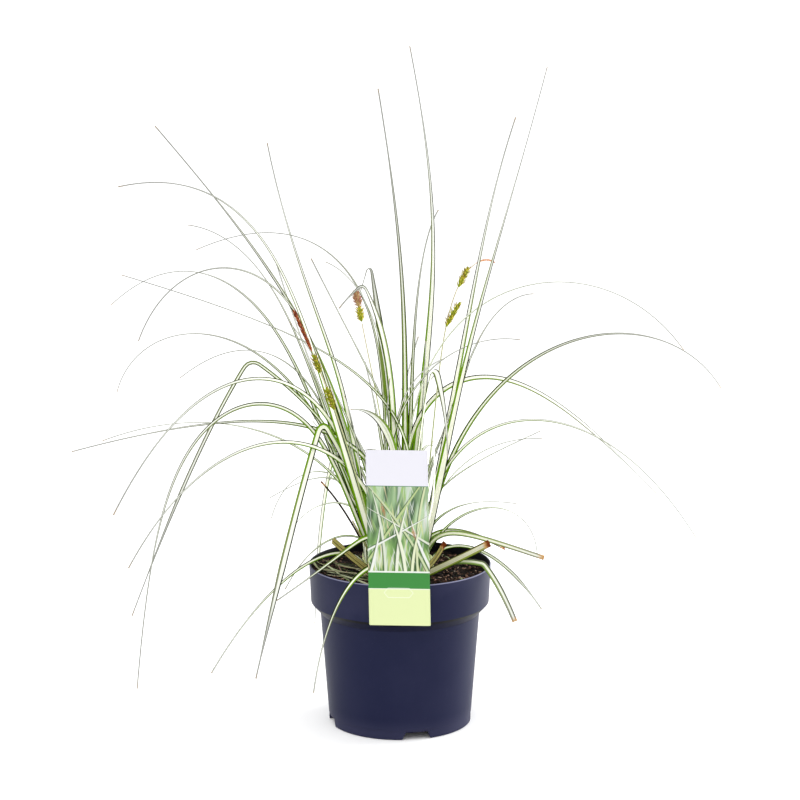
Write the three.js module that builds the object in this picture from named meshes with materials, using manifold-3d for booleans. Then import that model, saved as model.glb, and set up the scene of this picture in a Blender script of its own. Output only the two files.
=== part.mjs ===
// A variegated carex sedge growing in a round nursery pot, in millimetres, +Z up.
// The origin is the centre of the pot's foot, on the ground, and the label faces -Y.
import * as THREE from 'three';
import { mergeVertices } from 'three/addons/utils/BufferGeometryUtils.js';
import Module from 'manifold-3d';

const wasm = await Module();
wasm.setup();

const GAP = 0.3; // clearance between pieces that touch

const POT = {
  sides: 56,
  wall: 1.5,
  height: 151.4,
  rimRadius: 85,
  lipDrop: 1.4, // how far below the top the rounded lip starts
  lipInset: 0.5,
  collarRadius: 83.4, // at the collar's lower edge
  collarBottom: 115.4,
  shoulderRadius: 74.7, // where the body meets the collar's undercut
  shoulderZ: 106,
  footRadius: 66.75,
  footHeight: 8.5,
  footStep: 0.45,
  footRound: 0.6,
  footWall: 2.4,
  floorBottom: 7,
  floorTop: 8.5,
  shoulderLift: 0.6, // how much higher the inner corners of the shoulder sit
};

const NOTCH = {
  count: 4,
  bottomWidth: 27,
  topWidth: 21,
  turn: -76.4, // degrees, the notch nearest the front
};

const DRAIN = {
  count: 8,
  radius: 4,
  ring: 50,
  sides: 8,
};

const CROWN_Z = 138; // height where the leaves leave their sheaths

const SOIL = {
  sides: 32,
  level: 135.4,
  swell: 1.1, // height of the broad lumps
  lump: 16, // their size
  rings: 6,
  inset: 0.35, // how far it stays in from the wall
  lift: 0.1,
};

const LABEL = {
  width: 55.5,
  height: 163,
  bottom: 113.5,
  thick: 0.8,
  corner: 2.5,
  lean: 1.1, // degrees, the top leans to the left
  tabWidth: 24,
  tabDepth: 14, // how far the tab reaches down inside the pot
  tabInset: 1.6, // how far it stands in from the rim's inner edge
};

const SHEATH = {
  sides: 8,
  radius: 4.4,
  topRadius: 3,
  below: 12, // depth under the crown
  above: 20,
};

const LEAF = {
  steps: 96, // fine steps along the curve
  thick: 1,
  tipThick: 0.6,
  tipWidth: 0.9,
  baseShare: 0.7, // width at the base as a share of the full width
  swellBy: 0.12, // share of the length by which the full width is reached
  taperFrom: 0.2, // share of the length where the even taper to the tip begins
  foldTaperFrom: 0.75, // the same for a folded leaf
  channel: 0.16, // height of the V as a share of the width
  foldSpan: 0.04, // share of the length over which a folded leaf turns
  segmentLength: 54,
  fewest: 5,
  most: 10,
};

const CULM = {
  sides: 5,
  radius: 1.2,
  tipRadius: 0.8,
};

const SPIKE = {
  sides: 6,
  rings: 5,
  coreShare: 0.62, // core radius as a share of the spike's radius
  scaleLength: 3,
  firstScale: 0.16, // share of the spike's length below its first scale
  goldenAngle: 137.5,
  scaleSides: 3,
  buttWidth: 0.5, // radius of a scale's sunken foot as a share of the core radius
};

const LITTER = {
  width: 1.8,
  thick: 0.9,
  clear: 0.4,
  segments: 4,
};

// Leaf columns: turn and sway in degrees seen from above, length, lean at the base and droop at
// the tip in degrees from upright, crest (share of the length where the bend is centred), snap
// (how sudden the bend is), width, roll at the base and at the tip, and for a folded leaf the
// share of its length where it folds and the angle of the fold, which may be 0 where a leaf only
// stays broad for longer. Cut leaves end bluntly.
// Stem columns: turn, sway, length, lean, droop, crest, snap and the share where the stem stops.
const TILLERS = {
  a: {
    at: [-21, -3],
    leaves: [
      [-153, 10, 475, 15, 158, 0.85, 5.5, 5.5, 60, 40],
      [-155, -2, 140, 1, 151, 0.45, 2, 4, 30, 30],
      [-65, -10, 200, 7, 20, 1.6, 3, 5, 45, 20],
      [-50, 0, 150, 1, 20, 1.9, 2.5, 5, 45, 20],
    ],
    cut: [],
  },
  b: {
    at: [-21, 12],
    leaves: [
      [-172, -29, 480, 11, 44, 0.55, 3, 6.5, 65, 40],
      [141, 24, 395, 22, 87, 1.15, 6, 5, 40, 15],
      [150, -28, 320, 15, 32, 0.3, 6, 4, 50, 50],
      [144, 0, 490, 26, 129, 0.75, 5, 4.5, 50, 15],
      [158, 5, 420, 19, 167, 2, 2.5, 4.5, 50, 20],
      [142, 12, 355, 21, 128, 0.7, 5.5, 3.5, 40, 10],
      [174, 1, 340, 9, 112, 0.75, 1.5, 4, 40, 15],
      [170, 3, 150, 4, 154, 0.6, 3, 4, 45, 25],
      [135, -30, 470, 16, 44, 0.4, 7, 6, 60, 40],
    ],
    cut: [
      [140, 7, 105, 35, 53, 2, 2.5, 3, 40, 40],
    ],
  },
  c: {
    at: [-17, -17],
    stem: [-116, -12, 310, 22, 33, 1.3, 1.5, 0.84],
    leaves: [
      [-136, -4, 530, 20, 98, 0.85, 6.5, 8.5, 105, 40],
      [-156, 2, 530, 22, 174, 0.45, 5.5, 5, 100, 30],
      [-149, 30, 490, 15, 134, 0.55, 3.5, 6, 120, 25],
      [-148, 29, 435, -4, 131, 0.55, 1.5, 5.5, 110, 10],
      [-145, 13, 410, 14, 37, 0.25, 3.5, 6.5, 110, 40, 0.42, 124],
      [-122, -13, 185, 7, 108, 0.25, 6, 6, 60, 60],
    ],
    cut: [
      [-145, -28, 60, 59, 31, 0.6, 6, 8, 60, 60],
      [-145, 21, 75, 28, 38, 0.8, 4, 5, 50, 50],
    ],
  },
  d: {
    at: [-7, -8],
    leaves: [
      [180, 23, 455, -13, 71, 0.35, 3.5, 4.5, 40, 20],
      [-161, 24, 320, -1, 45, 1.5, 3.5, 7, 50, 50, 0.89, 87],
      [156, -2, 320, 1, 76, 1.55, 5, 5, 30, 20],
      [56, -27, 230, 0, 78, 0.9, 6, 5, 40, 40],
      [-14, 20, 300, -5, 101, 1.5, 2.5, 6, 40, 15],
    ],
    cut: [],
  },
  e: {
    at: [-8, 7],
    stem: [110, -12, 320, -1, 59, 0.4, 2.5, 0.85],
    leaves: [
      [138, 19, 470, 3, 114, 0.7, 6, 4, 35, 15],
      [80, -20, 220, 17, 75, 1.2, 3, 5, 45, 20],
      [110, -10, 230, 3, 65, 0.8, 2, 5.5, 45, 20],
      [110, 10, 210, 13, 145, 0.8, 2.5, 5, 45, 20],
      [110, 20, 180, 5, 135, 1.1, 2, 4.5, 45, 20],
      [115, -10, 190, 10, 80, 0.8, 1.5, 6, 45, 20],
      [130, 10, 180, 20, 80, 1.2, 3, 5, 45, 20],
      [145, 20, 260, 14, 40, 1.3, 2, 5, 45, 20],
    ],
    cut: [],
  },
  f: {
    at: [-9, 21],
    leaves: [
      [150, -11, 310, 21, 55, 0.4, 3, 5.5, 60, 60, 0.41, 121],
      [148, 8, 185, 26, 122, 0.55, 6, 4.5, 40, 25],
      [136, 19, 210, 28, 164, 0.7, 3.5, 3.5, 40, 25],
      [85, 0, 170, 7, 100, 0.4, 2, 5, 45, 20],
      [85, 10, 300, 8, 160, 1.1, 3, 4.5, 45, 20],
      [90, -20, 250, 23, 50, 0.9, 2, 4.5, 45, 20],
      [100, 10, 160, 19, 105, 0.5, 1.5, 6, 45, 20],
      [110, -20, 200, 14, 140, 0.7, 2, 6, 45, 20],
    ],
    cut: [],
  },
  g: {
    at: [4, -17],
    leaves: [
      [-129, 10, 200, 42, 164, 0.5, 1.5, 6, 60, 60],
      [-117, -16, 210, 6, 88, 0.95, 5, 8, 100, 60],
      [-50, 2, 290, 9, 43, 0.87, 6, 6, 40, 30, 0.72, 136],
      [-145, -20, 130, 18, 20, 1.2, 3, 6, 45, 20],
    ],
    cut: [
      [-55, -5, 155, 33, -8, 0.7, 4.5, 9, 60, 60],
      [-30, 15, 60, 59, 28, 0.55, 6, 6.5, 60, 60],
    ],
  },
  h: {
    at: [5, -1],
    leaves: [
      [125, -5, 355, 0, 50, 0.35, 6, 3.5, 30, 20],
      [124, 4, 320, 8, 15, 1.85, 1.5, 7, 20, 20, 0.91, 140],
      [-25, -20, 120, 7, 25, 1, 3, 5.5, 45, 20],
      [-20, 10, 160, 7, 25, 0.8, 2, 6, 45, 20],
      [-10, -10, 240, 13, 25, 0.9, 3, 5, 45, 20],
      [0, 20, 190, 8, 25, 0.9, 1.5, 4.5, 45, 20],
    ],
    cut: [],
  },
  i: {
    at: [5, 14],
    leaves: [
      [100, 12, 465, 0, 25, 0.6, 6, 7.5, 25, 20],
      [60, -28, 500, 10, -13, 0.65, 6, 9, 25, 20],
      [60, 13, 365, 4, 74, 1.1, 6, 6, 40, 40],
      [-19, 30, 495, 0, 145, 0.8, 3, 4.5, 30, 15],
      [30, -1, 480, -1, 134, 0.4, 4.5, 5, 65, 55, 0.5, 0],
      [50, 20, 180, 4, 60, 0.4, 2.5, 6, 45, 20],
    ],
    cut: [],
  },
  j: {
    at: [17, -9],
    leaves: [
      [5, 18, 305, 12, 97, 2, 6, 6.5, 50, 20],
      [-25, -28, 505, 13, 21, 0.5, 5, 8, 110, 55],
      [-14, 30, 445, 11, 149, 2.1, 2, 6, 65, 45],
      [-16, -18, 410, 7, 143, 0.55, 2.5, 4, 95, 10],
    ],
    cut: [
      [-30, 28, 80, 60, 61, 0.15, 1.5, 8, 60, 60],
      [-50, 18, 150, 54, 147, 0.5, 5, 5.5, 60, 60],
    ],
  },
  k: {
    at: [18, 6],
    stem: [49, -5, 335, 8, 131, 1.9, 7.5, 0.92],
    leaves: [
      [10, 28, 440, 11, 24, 1.1, 6, 7.5, 70, 70],
      [13, 25, 210, -4, 77, 0.35, 3, 3, 40, 20],
      [-12, -20, 210, 2, 88, 1.6, 1.5, 3, 40, 20],
      [9, 27, 185, 19, 181, 2.2, 1.5, 3.5, 45, 25],
    ],
    cut: [
      [-5, 1, 145, 18, 108, 0.3, 5, 6, 50, 40],
      [15, 6, 120, 0, 121, 0.35, 3, 5, 50, 40],
    ],
  },
  l: {
    at: [16, 21],
    leaves: [
      [53, -30, 150, 13, 103, 0.4, 2, 3.5, 35, 15],
      [-65, -20, 230, 3, 15, 1.3, 1.5, 6, 45, 20],
      [80, 10, 210, 23, 95, 0.3, 1.5, 4.5, 45, 20],
      [85, 0, 220, 12, 60, 0.5, 3, 4.5, 45, 20],
      [85, 10, 310, 22, 135, 0.6, 2, 4.5, 45, 20],
      [85, 20, 200, 23, 155, 1.1, 1.5, 5.5, 45, 20],
      [90, 0, 230, 21, 160, 0.6, 3, 5, 45, 20],
      [120, 10, 190, 13, 155, 1, 3, 5.5, 45, 20],
    ],
    cut: [],
  },
  m: {
    at: [28, -2],
    leaves: [
      [10, -20, 150, -13, 146, 0.25, 1.5, 4, 30, 20],
    ],
    cut: [],
  },
  n: {
    at: [-32, 5],
    leaves: [
      [-166, -6, 510, 3, 66, 0.3, 2.5, 4, 60, 50, 0.48, 93],
      [175, 30, 405, -18, 100, 0.3, 3, 6, 60, 35],
      [-165, -20, 160, 5, 40, 0.9, 2.5, 4.5, 45, 20],
      [-130, 10, 170, 7, 30, 1, 3, 5, 45, 20],
      [-105, -10, 190, 7, 35, 1.1, 3, 4.5, 45, 20],
    ],
    cut: [],
  },
  o: {
    at: [-31, -12],
    leaves: [
      [-159, 30, 220, -5, 134, 0.15, 1.5, 4, 60, 60],
      [-115, -20, 150, 6, 20, 1.2, 2.5, 4.5, 45, 20],
    ],
    cut: [],
  },
  p: {
    at: [4, 28],
    leaves: [
      [-130, 10, 140, 3, 5, 1.8, 1.5, 5.5, 45, 20],
      [70, 0, 190, 9, 160, 1, 3, 6, 45, 20],
      [75, 10, 220, 9, 60, 1, 1.5, 5.5, 45, 20],
      [85, 10, 250, 15, 100, 0.8, 2.5, 4.5, 45, 20],
      [85, 20, 180, 20, 100, 0.7, 3, 4.5, 45, 20],
      [90, 10, 220, 20, 105, 0.3, 1.5, 4.5, 45, 20],
      [105, 20, 170, 25, 105, 0.5, 2, 5.5, 45, 20],
    ],
    cut: [],
  },
};

// Flower spikes: the tiller whose stem they belong to, the shares of the stem's curve that they
// take up, how far the tip stands off to the right, radius, number of scales and colour.
// A side spike grows straight, in front of its stem, and an end spike carries on along its curve.
const SPIKES = {
  spike_left_lower: { on: 'c', from: 0.635, to: 0.72, off: 0, radius: 3.4, scales: 21, side: true, male: false },
  spike_left_upper: { on: 'c', from: 0.77, to: 0.84, off: 0, radius: 3, scales: 20, side: true, male: false },
  spike_left_end: { on: 'c', from: 0.845, to: 1, off: 0, radius: 1.9, scales: 18, side: false, male: true },
  spike_middle_lower: { on: 'e', from: 0.855, to: 0.925, off: 0, radius: 3.6, scales: 20, side: false, male: false },
  spike_middle_end: { on: 'e', from: 0.925, to: 1, off: 0, radius: 4.8, scales: 28, side: false, male: true },
  spike_right_lower: { on: 'k', from: 0.705, to: 0.78, off: 8, radius: 3.4, scales: 21, side: true, male: false },
  spike_right_upper: { on: 'k', from: 0.823, to: 0.893, off: 0, radius: 3.2, scales: 20, side: true, male: false },
  spike_right_end: { on: 'k', from: 0.915, to: 1, off: 0, radius: 1.2, scales: 12, side: false, male: true },
};

// Dry strands on the soil: where each starts, its heading in degrees and its length.
const STRANDS = [
  [-76, -8, 12, 36],
  [-70, 6, -18, 40],
  [-66, -22, 58, 38],
  [-58, -30, 96, 44],
  [-76, 0, -30, 34],
];

const rad = THREE.MathUtils.degToRad;
const vec = (x, y, z) => new THREE.Vector3(x, y, z);
const polar = (radius, angle, z) => vec(radius * Math.cos(angle), radius * Math.sin(angle), z);

// ---- from three.js geometry to solids and back ----

function toSolid(geometry) {
  const bare = geometry.index ? geometry.toNonIndexed() : geometry.clone();
  bare.deleteAttribute('normal');
  bare.deleteAttribute('uv');
  const merged = mergeVertices(bare, 1e-4);
  return new wasm.Manifold(
    new wasm.Mesh({
      numProp: 3,
      vertProperties: merged.attributes.position.array,
      triVerts: new Uint32Array(merged.index.array),
    }),
  );
}

function toMesh(name, solid, material) {
  const { numProp, numVert, vertProperties, triVerts } = solid.getMesh();
  const positions = new Float32Array(numVert * 3);
  for (let i = 0; i < numVert; i++) {
    positions.set(vertProperties.subarray(i * numProp, i * numProp + 3), i * 3);
  }
  const geometry = new THREE.BufferGeometry();
  geometry.setAttribute('position', new THREE.BufferAttribute(positions, 3));
  geometry.setIndex(new THREE.BufferAttribute(triVerts, 1));
  geometry.computeVertexNormals();
  const mesh = new THREE.Mesh(geometry, material);
  mesh.name = name;
  return mesh;
}

// A closed solid through rings of points, each ring counter-clockwise seen from the next one.
function loft(rings) {
  const points = rings.flat();
  const sides = rings[0].length;
  const faces = [];
  for (let i = 0; i + 1 < rings.length; i++) {
    for (let j = 0; j < sides; j++) {
      const a = i * sides + j;
      const b = i * sides + ((j + 1) % sides);
      faces.push(a, b, b + sides, a, b + sides, a + sides);
    }
  }
  const last = (rings.length - 1) * sides;
  for (let j = 1; j + 1 < sides; j++) {
    faces.push(0, j + 1, j);
    faces.push(last, last + j, last + j + 1);
  }
  const geometry = new THREE.BufferGeometry().setFromPoints(points);
  geometry.setIndex(faces);
  return toSolid(geometry);
}

// One solid from several, with any pocket that they close off between them filled in.
function fuse(solids) {
  const whole = solids.reduce((sum, solid) => sum.add(solid));
  const outer = whole.decompose().filter((body) => body.volume() > 0);
  return outer.reduce((sum, solid) => sum.add(solid));
}

// ---- curves that leaves and stems follow ----

// The share of the whole bend that has happened at share s of the length.
function bent(s, crest, snap) {
  return (s ** snap * (1 + crest ** snap)) / (s ** snap + crest ** snap);
}

// Steps along a leaf or stem from (x, y) on the crown. Each step has its place, its direction,
// the way its width lies (side) and the way its upper face looks (face).
function follow([x, y], path, roll = [0, 0], fold = [2, 0]) {
  const [turn, sway, length, lean, droop, crest, snap] = path;
  const handed = Math.sign(Math.cos(rad(turn))) || 1;
  const place = vec(x, y, CROWN_Z);
  const steps = [];
  let turned = 0;
  let before = null;
  for (let i = 0; i < LEAF.steps; i++) {
    const s = (i + 0.5) / LEAF.steps;
    const folded = THREE.MathUtils.smoothstep(s, fold[0] - LEAF.foldSpan / 2, fold[0] + LEAF.foldSpan / 2);
    const tilt = rad(lean + (droop - lean) * bent(s, crest, snap) + fold[1] * folded);
    const heading = rad(turn + sway * s);
    const along = polar(Math.sin(tilt), heading, Math.cos(tilt));
    const level = polar(1, heading + Math.PI / 2, 0);
    const upper = along.clone().cross(level);
    const rolled = rad(handed * (roll[0] + (roll[1] - roll[0]) * s));
    const side = level.clone().multiplyScalar(Math.cos(rolled)).addScaledVector(upper, Math.sin(rolled));
    const face = along.clone().cross(side);
    turned += before ? before.angleTo(along) : 0;
    before = along;
    steps.push({ s, turned, place: place.clone(), along, side, face });
    place.addScaledVector(along, length / LEAF.steps);
  }
  return steps;
}

// The steps that a faceted solid needs: closer together where the curve turns.
function stations(steps, count) {
  const whole = steps.at(-1).turned || 1;
  const chosen = [];
  for (const step of steps) {
    const reached = (step.s + step.turned / whole) / 2;
    if (reached * count >= chosen.length) chosen.push(step);
  }
  chosen.push(steps.at(-1));
  return [...new Set(chosen)];
}

// ---- the plant ----

function leaf(at, row, blunt) {
  const [turn, sway, length, lean, droop, crest, snap, width, roll, tipRoll, ...fold] = row;
  const path = [turn, sway, length, lean, droop, crest, snap];
  const taperFrom = fold.length ? LEAF.foldTaperFrom : LEAF.taperFrom;
  const steps = follow(at, path, [roll, tipRoll], fold.length ? fold : undefined);
  const count = THREE.MathUtils.clamp(Math.round(length / LEAF.segmentLength), LEAF.fewest, LEAF.most);
  const rings = stations(steps, count).map(({ s, place, side, face }) => {
    const tapered = blunt ? 0 : Math.max(0, (s - taperFrom) / (1 - taperFrom));
    const swollen = LEAF.baseShare + (1 - LEAF.baseShare) * Math.min(1, s / LEAF.swellBy);
    const wide = Math.max(LEAF.tipWidth, width * swollen * (1 - tapered));
    const thick = LEAF.tipThick + (LEAF.thick - LEAF.tipThick) * (1 - tapered);
    const point = (across, up) => place.clone().addScaledVector(side, across).addScaledVector(face, up);
    const edge = LEAF.channel * wide;
    return [point(0, thick / 2), point(-wide / 2, edge), point(0, -thick / 2), point(wide / 2, edge)];
  });
  return loft(rings);
}

// A round rod along steps, thinning evenly from one radius to another.
function rod(steps, sides, radii) {
  return loft(
    steps.map(({ place, side, face }, i) => {
      const radius = THREE.MathUtils.lerp(radii[0], radii[1], i / (steps.length - 1));
      return Array.from({ length: sides }, (_, j) => {
        const angle = (j / sides) * 2 * Math.PI;
        return place
          .clone()
          .addScaledVector(side, radius * Math.cos(angle))
          .addScaledVector(face, radius * Math.sin(angle));
      });
    }),
  );
}

function culm({ at, stem }, swollen = 0) {
  const stop = stem.at(-1);
  const steps = follow(at, stem.slice(0, 7)).filter(({ s }) => s <= stop);
  const count = Math.round(stem[2] / LEAF.segmentLength);
  return rod(stations(steps, count), CULM.sides, [CULM.radius + swollen, CULM.tipRadius + swollen]);
}

function post([x, y], radius, topRadius, bottom, top) {
  const ring = (r, z) => Array.from({ length: SHEATH.sides }, (_, j) =>
    polar(r, (j / SHEATH.sides) * 2 * Math.PI, z).add(vec(x, y, 0)));
  return loft([ring(radius, bottom), ring(radius, CROWN_Z), ring(topRadius, top)]);
}

function tiller({ at, leaves, cut, stem }) {
  return fuse([
    post(at, SHEATH.radius, SHEATH.topRadius, CROWN_Z - SHEATH.below, CROWN_Z + SHEATH.above),
    ...leaves.map((row) => leaf(at, row, false)),
    ...cut.map((row) => leaf(at, row, true)),
    ...(stem ? [culm({ at, stem })] : []),
  ]);
}

// The steps that a spike is built on. A side spike grows straight on from its stem's heading
// where it starts, standing in front of the stem. An end spike follows the stem's own curve.
function spikeSteps({ on, from, to, off, radius, side: beside }) {
  const { at, stem } = TILLERS[on];
  const run = follow(at, stem.slice(0, 7)).filter(({ s }) => s > from - 1 / LEAF.steps && s <= to);
  const lifted = ({ place, along }) => place.clone().addScaledVector(along, GAP);
  if (!beside) return run.map((step) => ({ ...step, place: lifted(step) }));
  const forward = radius * SPIKE.coreShare + CULM.radius + GAP;
  return run.map((_, i) => {
    const moved = vec((off * i) / (run.length - 1), -forward, 0);
    const reach = (i * stem[2]) / LEAF.steps;
    return { ...run[0], place: run[0].place.clone().add(moved).addScaledVector(run[0].along, reach) };
  });
}

// A slim core with pointed scales set round it in a spiral.
function spike(shape) {
  const { on, radius, scales, side: beside } = shape;
  const steps = spikeSteps(shape);
  const core = radius * SPIKE.coreShare;
  const swelling = (share) => Math.sin(Math.PI * (0.12 + 0.8 * share)) ** 0.7;
  const pick = (share) => steps[Math.round(share * (steps.length - 1))];
  const shares = [...new Set(steps.map((_, i) => Math.round((i * SPIKE.rings) / (steps.length - 1)) / SPIKE.rings))];
  const rings = shares.map((share) => {
    const { place, side, face } = pick(share);
    const wide = core * swelling(share);
    return Array.from({ length: SPIKE.sides }, (_, j) => {
      const angle = (j / SPIKE.sides) * 2 * Math.PI;
      return place
        .clone()
        .addScaledVector(side, wide * Math.cos(angle))
        .addScaledVector(face, wide * Math.sin(angle));
    });
  });
  const length = steps[0].place.distanceTo(steps.at(-1).place);
  const lastScale = Math.max(0.5, 1 - SPIKE.scaleLength / length);
  const scaleAt = (k) => {
    const share = THREE.MathUtils.lerp(SPIKE.firstScale, lastScale, k / (scales - 1));
    const { place, along, side, face } = pick(share);
    const angle = rad(k * SPIKE.goldenAngle);
    const out = side.clone().multiplyScalar(Math.cos(angle)).addScaledVector(face, Math.sin(angle));
    const reach = radius * swelling(share);
    const lean = out.clone().multiplyScalar(reach).addScaledVector(along, SPIKE.scaleLength);
    const cone = new THREE.ConeGeometry(core * SPIKE.buttWidth, lean.length(), SPIKE.scaleSides);
    cone.translate(0, lean.length() / 2, 0);
    cone.applyQuaternion(new THREE.Quaternion().setFromUnitVectors(vec(0, 1, 0), lean.clone().normalize()));
    cone.translate(place.x, place.y, place.z);
    return toSolid(cone);
  };
  const whole = fuse([loft(rings), ...Array.from({ length: scales }, (_, k) => scaleAt(k))]);
  if (!beside) return whole;
  const hugged = whole.subtract(culm(TILLERS[on], GAP));
  return hugged.decompose().sort((a, b) => b.volume() - a.volume())[0];
}

// ---- the pot ----

// Outer and inner corners of the wall, from the foot up.
const WALL = {
  outer: [
    [POT.footRadius + POT.footStep, POT.footHeight],
    [POT.shoulderRadius, POT.shoulderZ],
    [POT.collarRadius, POT.collarBottom],
    [POT.rimRadius, POT.height - POT.lipDrop],
  ],
  inner: [
    [POT.footRadius + POT.footStep - POT.wall, POT.floorTop],
    [POT.shoulderRadius - POT.wall, POT.shoulderZ + POT.shoulderLift],
    [POT.collarRadius - POT.wall, POT.collarBottom + POT.shoulderLift],
    [POT.rimRadius - POT.wall, POT.height - POT.lipDrop],
  ],
};

const turned = (profile, sides) =>
  new THREE.LatheGeometry(profile.map(([r, z]) => new THREE.Vector2(r, z)), sides).rotateX(Math.PI / 2);

function notch(k) {
  const { bottomWidth, topWidth, turn, count } = NOTCH;
  const deep = POT.footRadius / 4;
  const outline = new THREE.Shape([
    new THREE.Vector2(-bottomWidth / 2, 0),
    new THREE.Vector2(bottomWidth / 2, 0),
    new THREE.Vector2(topWidth / 2, POT.floorBottom),
    new THREE.Vector2(-topWidth / 2, POT.floorBottom),
  ]);
  const prism = new THREE.ExtrudeGeometry(outline, { depth: deep, bevelEnabled: false });
  prism.rotateX(Math.PI / 2).translate(0, deep / 2 - POT.footRadius, 0);
  prism.rotateZ(rad(turn + 90 + (k * 360) / count));
  return toSolid(prism);
}

function drain(k) {
  const height = POT.floorTop * 2;
  const hole = new THREE.CylinderGeometry(DRAIN.radius, DRAIN.radius, height, DRAIN.sides);
  const centre = polar(DRAIN.ring, ((k + 0.5) / DRAIN.count) * 2 * Math.PI, POT.floorBottom);
  return toSolid(hole.rotateX(Math.PI / 2).translate(centre.x, centre.y, centre.z));
}

function pot() {
  const { footRadius, footRound, footHeight, footWall, floorBottom, floorTop } = POT;
  const { wall, rimRadius, height, lipInset } = POT;
  const shell = toSolid(
    turned(
      [
        [0, floorBottom],
        [footRadius - footWall, floorBottom],
        [footRadius - footWall, 0],
        [footRadius - footRound, 0],
        [footRadius, footRound],
        [footRadius, footHeight],
        ...WALL.outer,
        [rimRadius - lipInset, height],
        [rimRadius - wall + lipInset, height],
        ...WALL.inner.toReversed(),
        [0, floorTop],
      ],
      POT.sides,
    ),
  );
  const cuts = [
    ...Array.from({ length: NOTCH.count }, (_, k) => notch(k)),
    ...Array.from({ length: DRAIN.count }, (_, k) => drain(k)),
  ];
  return cuts.reduce((body, cut) => body.subtract(cut), shell);
}

// ---- what lies in the pot ----

// Height of the soil, in broad lumps.
function soilTop(x, y) {
  const { level, swell, lump } = SOIL;
  return level + (swell * (Math.sin(x / lump + 1) * Math.cos(y / lump) + Math.sin((x + y) / lump))) / 2;
}

function soil() {
  const side = WALL.inner.slice(0, 3).map(([r, z]) => [r - SOIL.inset, z + SOIL.lift]);
  const [low, high] = WALL.inner.slice(2);
  const share = (SOIL.level - low[1]) / (high[1] - low[1]);
  const edge = THREE.MathUtils.lerp(low[0], high[0], share) - SOIL.inset;
  const top = Array.from({ length: SOIL.rings + 1 }, (_, i) => [edge * (1 - i / SOIL.rings), SOIL.level]);
  const geometry = turned([[0, side[0][1]], ...side, ...top], SOIL.sides);
  const places = geometry.attributes.position;
  for (let i = 0; i < places.count; i++) {
    if (places.getZ(i) > SOIL.level - GAP) places.setZ(i, soilTop(places.getX(i), places.getY(i)));
  }
  const holes = Object.values(TILLERS).map(({ at }) =>
    post(at, SHEATH.radius + GAP, SHEATH.radius + GAP, CROWN_Z - SHEATH.below - GAP, CROWN_Z + SHEATH.above));
  return holes.reduce((body, hole) => body.subtract(hole), toSolid(geometry));
}

function strand([x, y, heading, length]) {
  const across = polar(LITTER.width / 2, rad(heading + 90), 0);
  const up = vec(0, 0, LITTER.thick / 2);
  const rings = Array.from({ length: LITTER.segments + 1 }, (_, i) => {
    const place = polar((length * i) / LITTER.segments, rad(heading), 0).add(vec(x, y, 0));
    place.z = soilTop(place.x, place.y) + LITTER.clear + LITTER.thick / 2;
    const corner = (a, b) => place.clone().addScaledVector(across, a).addScaledVector(up, b);
    return [corner(1, -1), corner(1, 1), corner(-1, 1), corner(-1, -1)];
  });
  return loft(rings);
}

// ---- the label ----

function label() {
  const { width, height, bottom, thick, corner, lean, tabWidth, tabDepth, tabInset } = LABEL;
  const half = width / 2;
  const outline = new THREE.Shape();
  outline.moveTo(-half + corner, 0);
  outline.lineTo(half - corner, 0);
  outline.absarc(half - corner, corner, corner, -Math.PI / 2, 0);
  outline.lineTo(half, height);
  outline.lineTo(-half, height);
  outline.absarc(-half + corner, corner, corner, Math.PI, Math.PI * 1.5);
  const front = -POT.rimRadius - GAP;
  const panel = new THREE.ExtrudeGeometry(outline, { depth: thick, bevelEnabled: false, curveSegments: 4 });
  panel.rotateX(Math.PI / 2).rotateY(-rad(lean)).translate(0, front, bottom);
  const inside = -POT.rimRadius + POT.wall + tabInset;
  const top = POT.height + GAP + thick;
  const bridge = new THREE.BoxGeometry(tabWidth, inside + thick - front + thick / 2, thick);
  bridge.translate(0, (inside + thick + front - thick / 2) / 2, top - thick / 2);
  const tab = new THREE.BoxGeometry(tabWidth, thick, tabDepth);
  tab.translate(0, inside + thick / 2, top - tabDepth / 2);
  return fuse([panel, bridge, tab].map(toSolid));
}

// ---- the finished part ----

const finish = (color, roughness) => new THREE.MeshStandardMaterial({ color, roughness, metalness: 0 });

const part = new THREE.Group();
part.name = 'carex_sedge';
part.add(toMesh('pot', pot(), finish(0x2b2f4a, 0.5)));
part.add(toMesh('soil', soil(), finish(0x33251c, 1)));
part.add(toMesh('label', label(), finish(0xdfeeb0, 0.4)));
part.add(toMesh('litter', fuse(STRANDS.map(strand)), finish(0xa9a070, 0.9)));
for (const [letter, shape] of Object.entries(TILLERS)) {
  part.add(toMesh(`tiller_${letter}`, tiller(shape), finish(0x86a045, 0.5)));
}
for (const [name, shape] of Object.entries(SPIKES)) {
  part.add(toMesh(name, spike(shape), finish(shape.male ? 0x9c5228 : 0xb3a52e, 0.9)));
}

export default part;
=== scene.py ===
# %% [markdown]
# # A striped sedge in its nursery pot
# This lesson dresses a plain CAD model of a potted sedge, cell by cell. The CAD model says where
# each part is. Blender adds what the eye wants: striped leaves that taper to a hair, scaly flower
# spikes, crumbly compost, a printed label and the soft sheen of moulded plastic. Every new piece
# is a surface worked out with numpy as whole arrays, in metres, in the CAD's frame.

import math
from collections import namedtuple
from types import SimpleNamespace as Sizes

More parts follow.
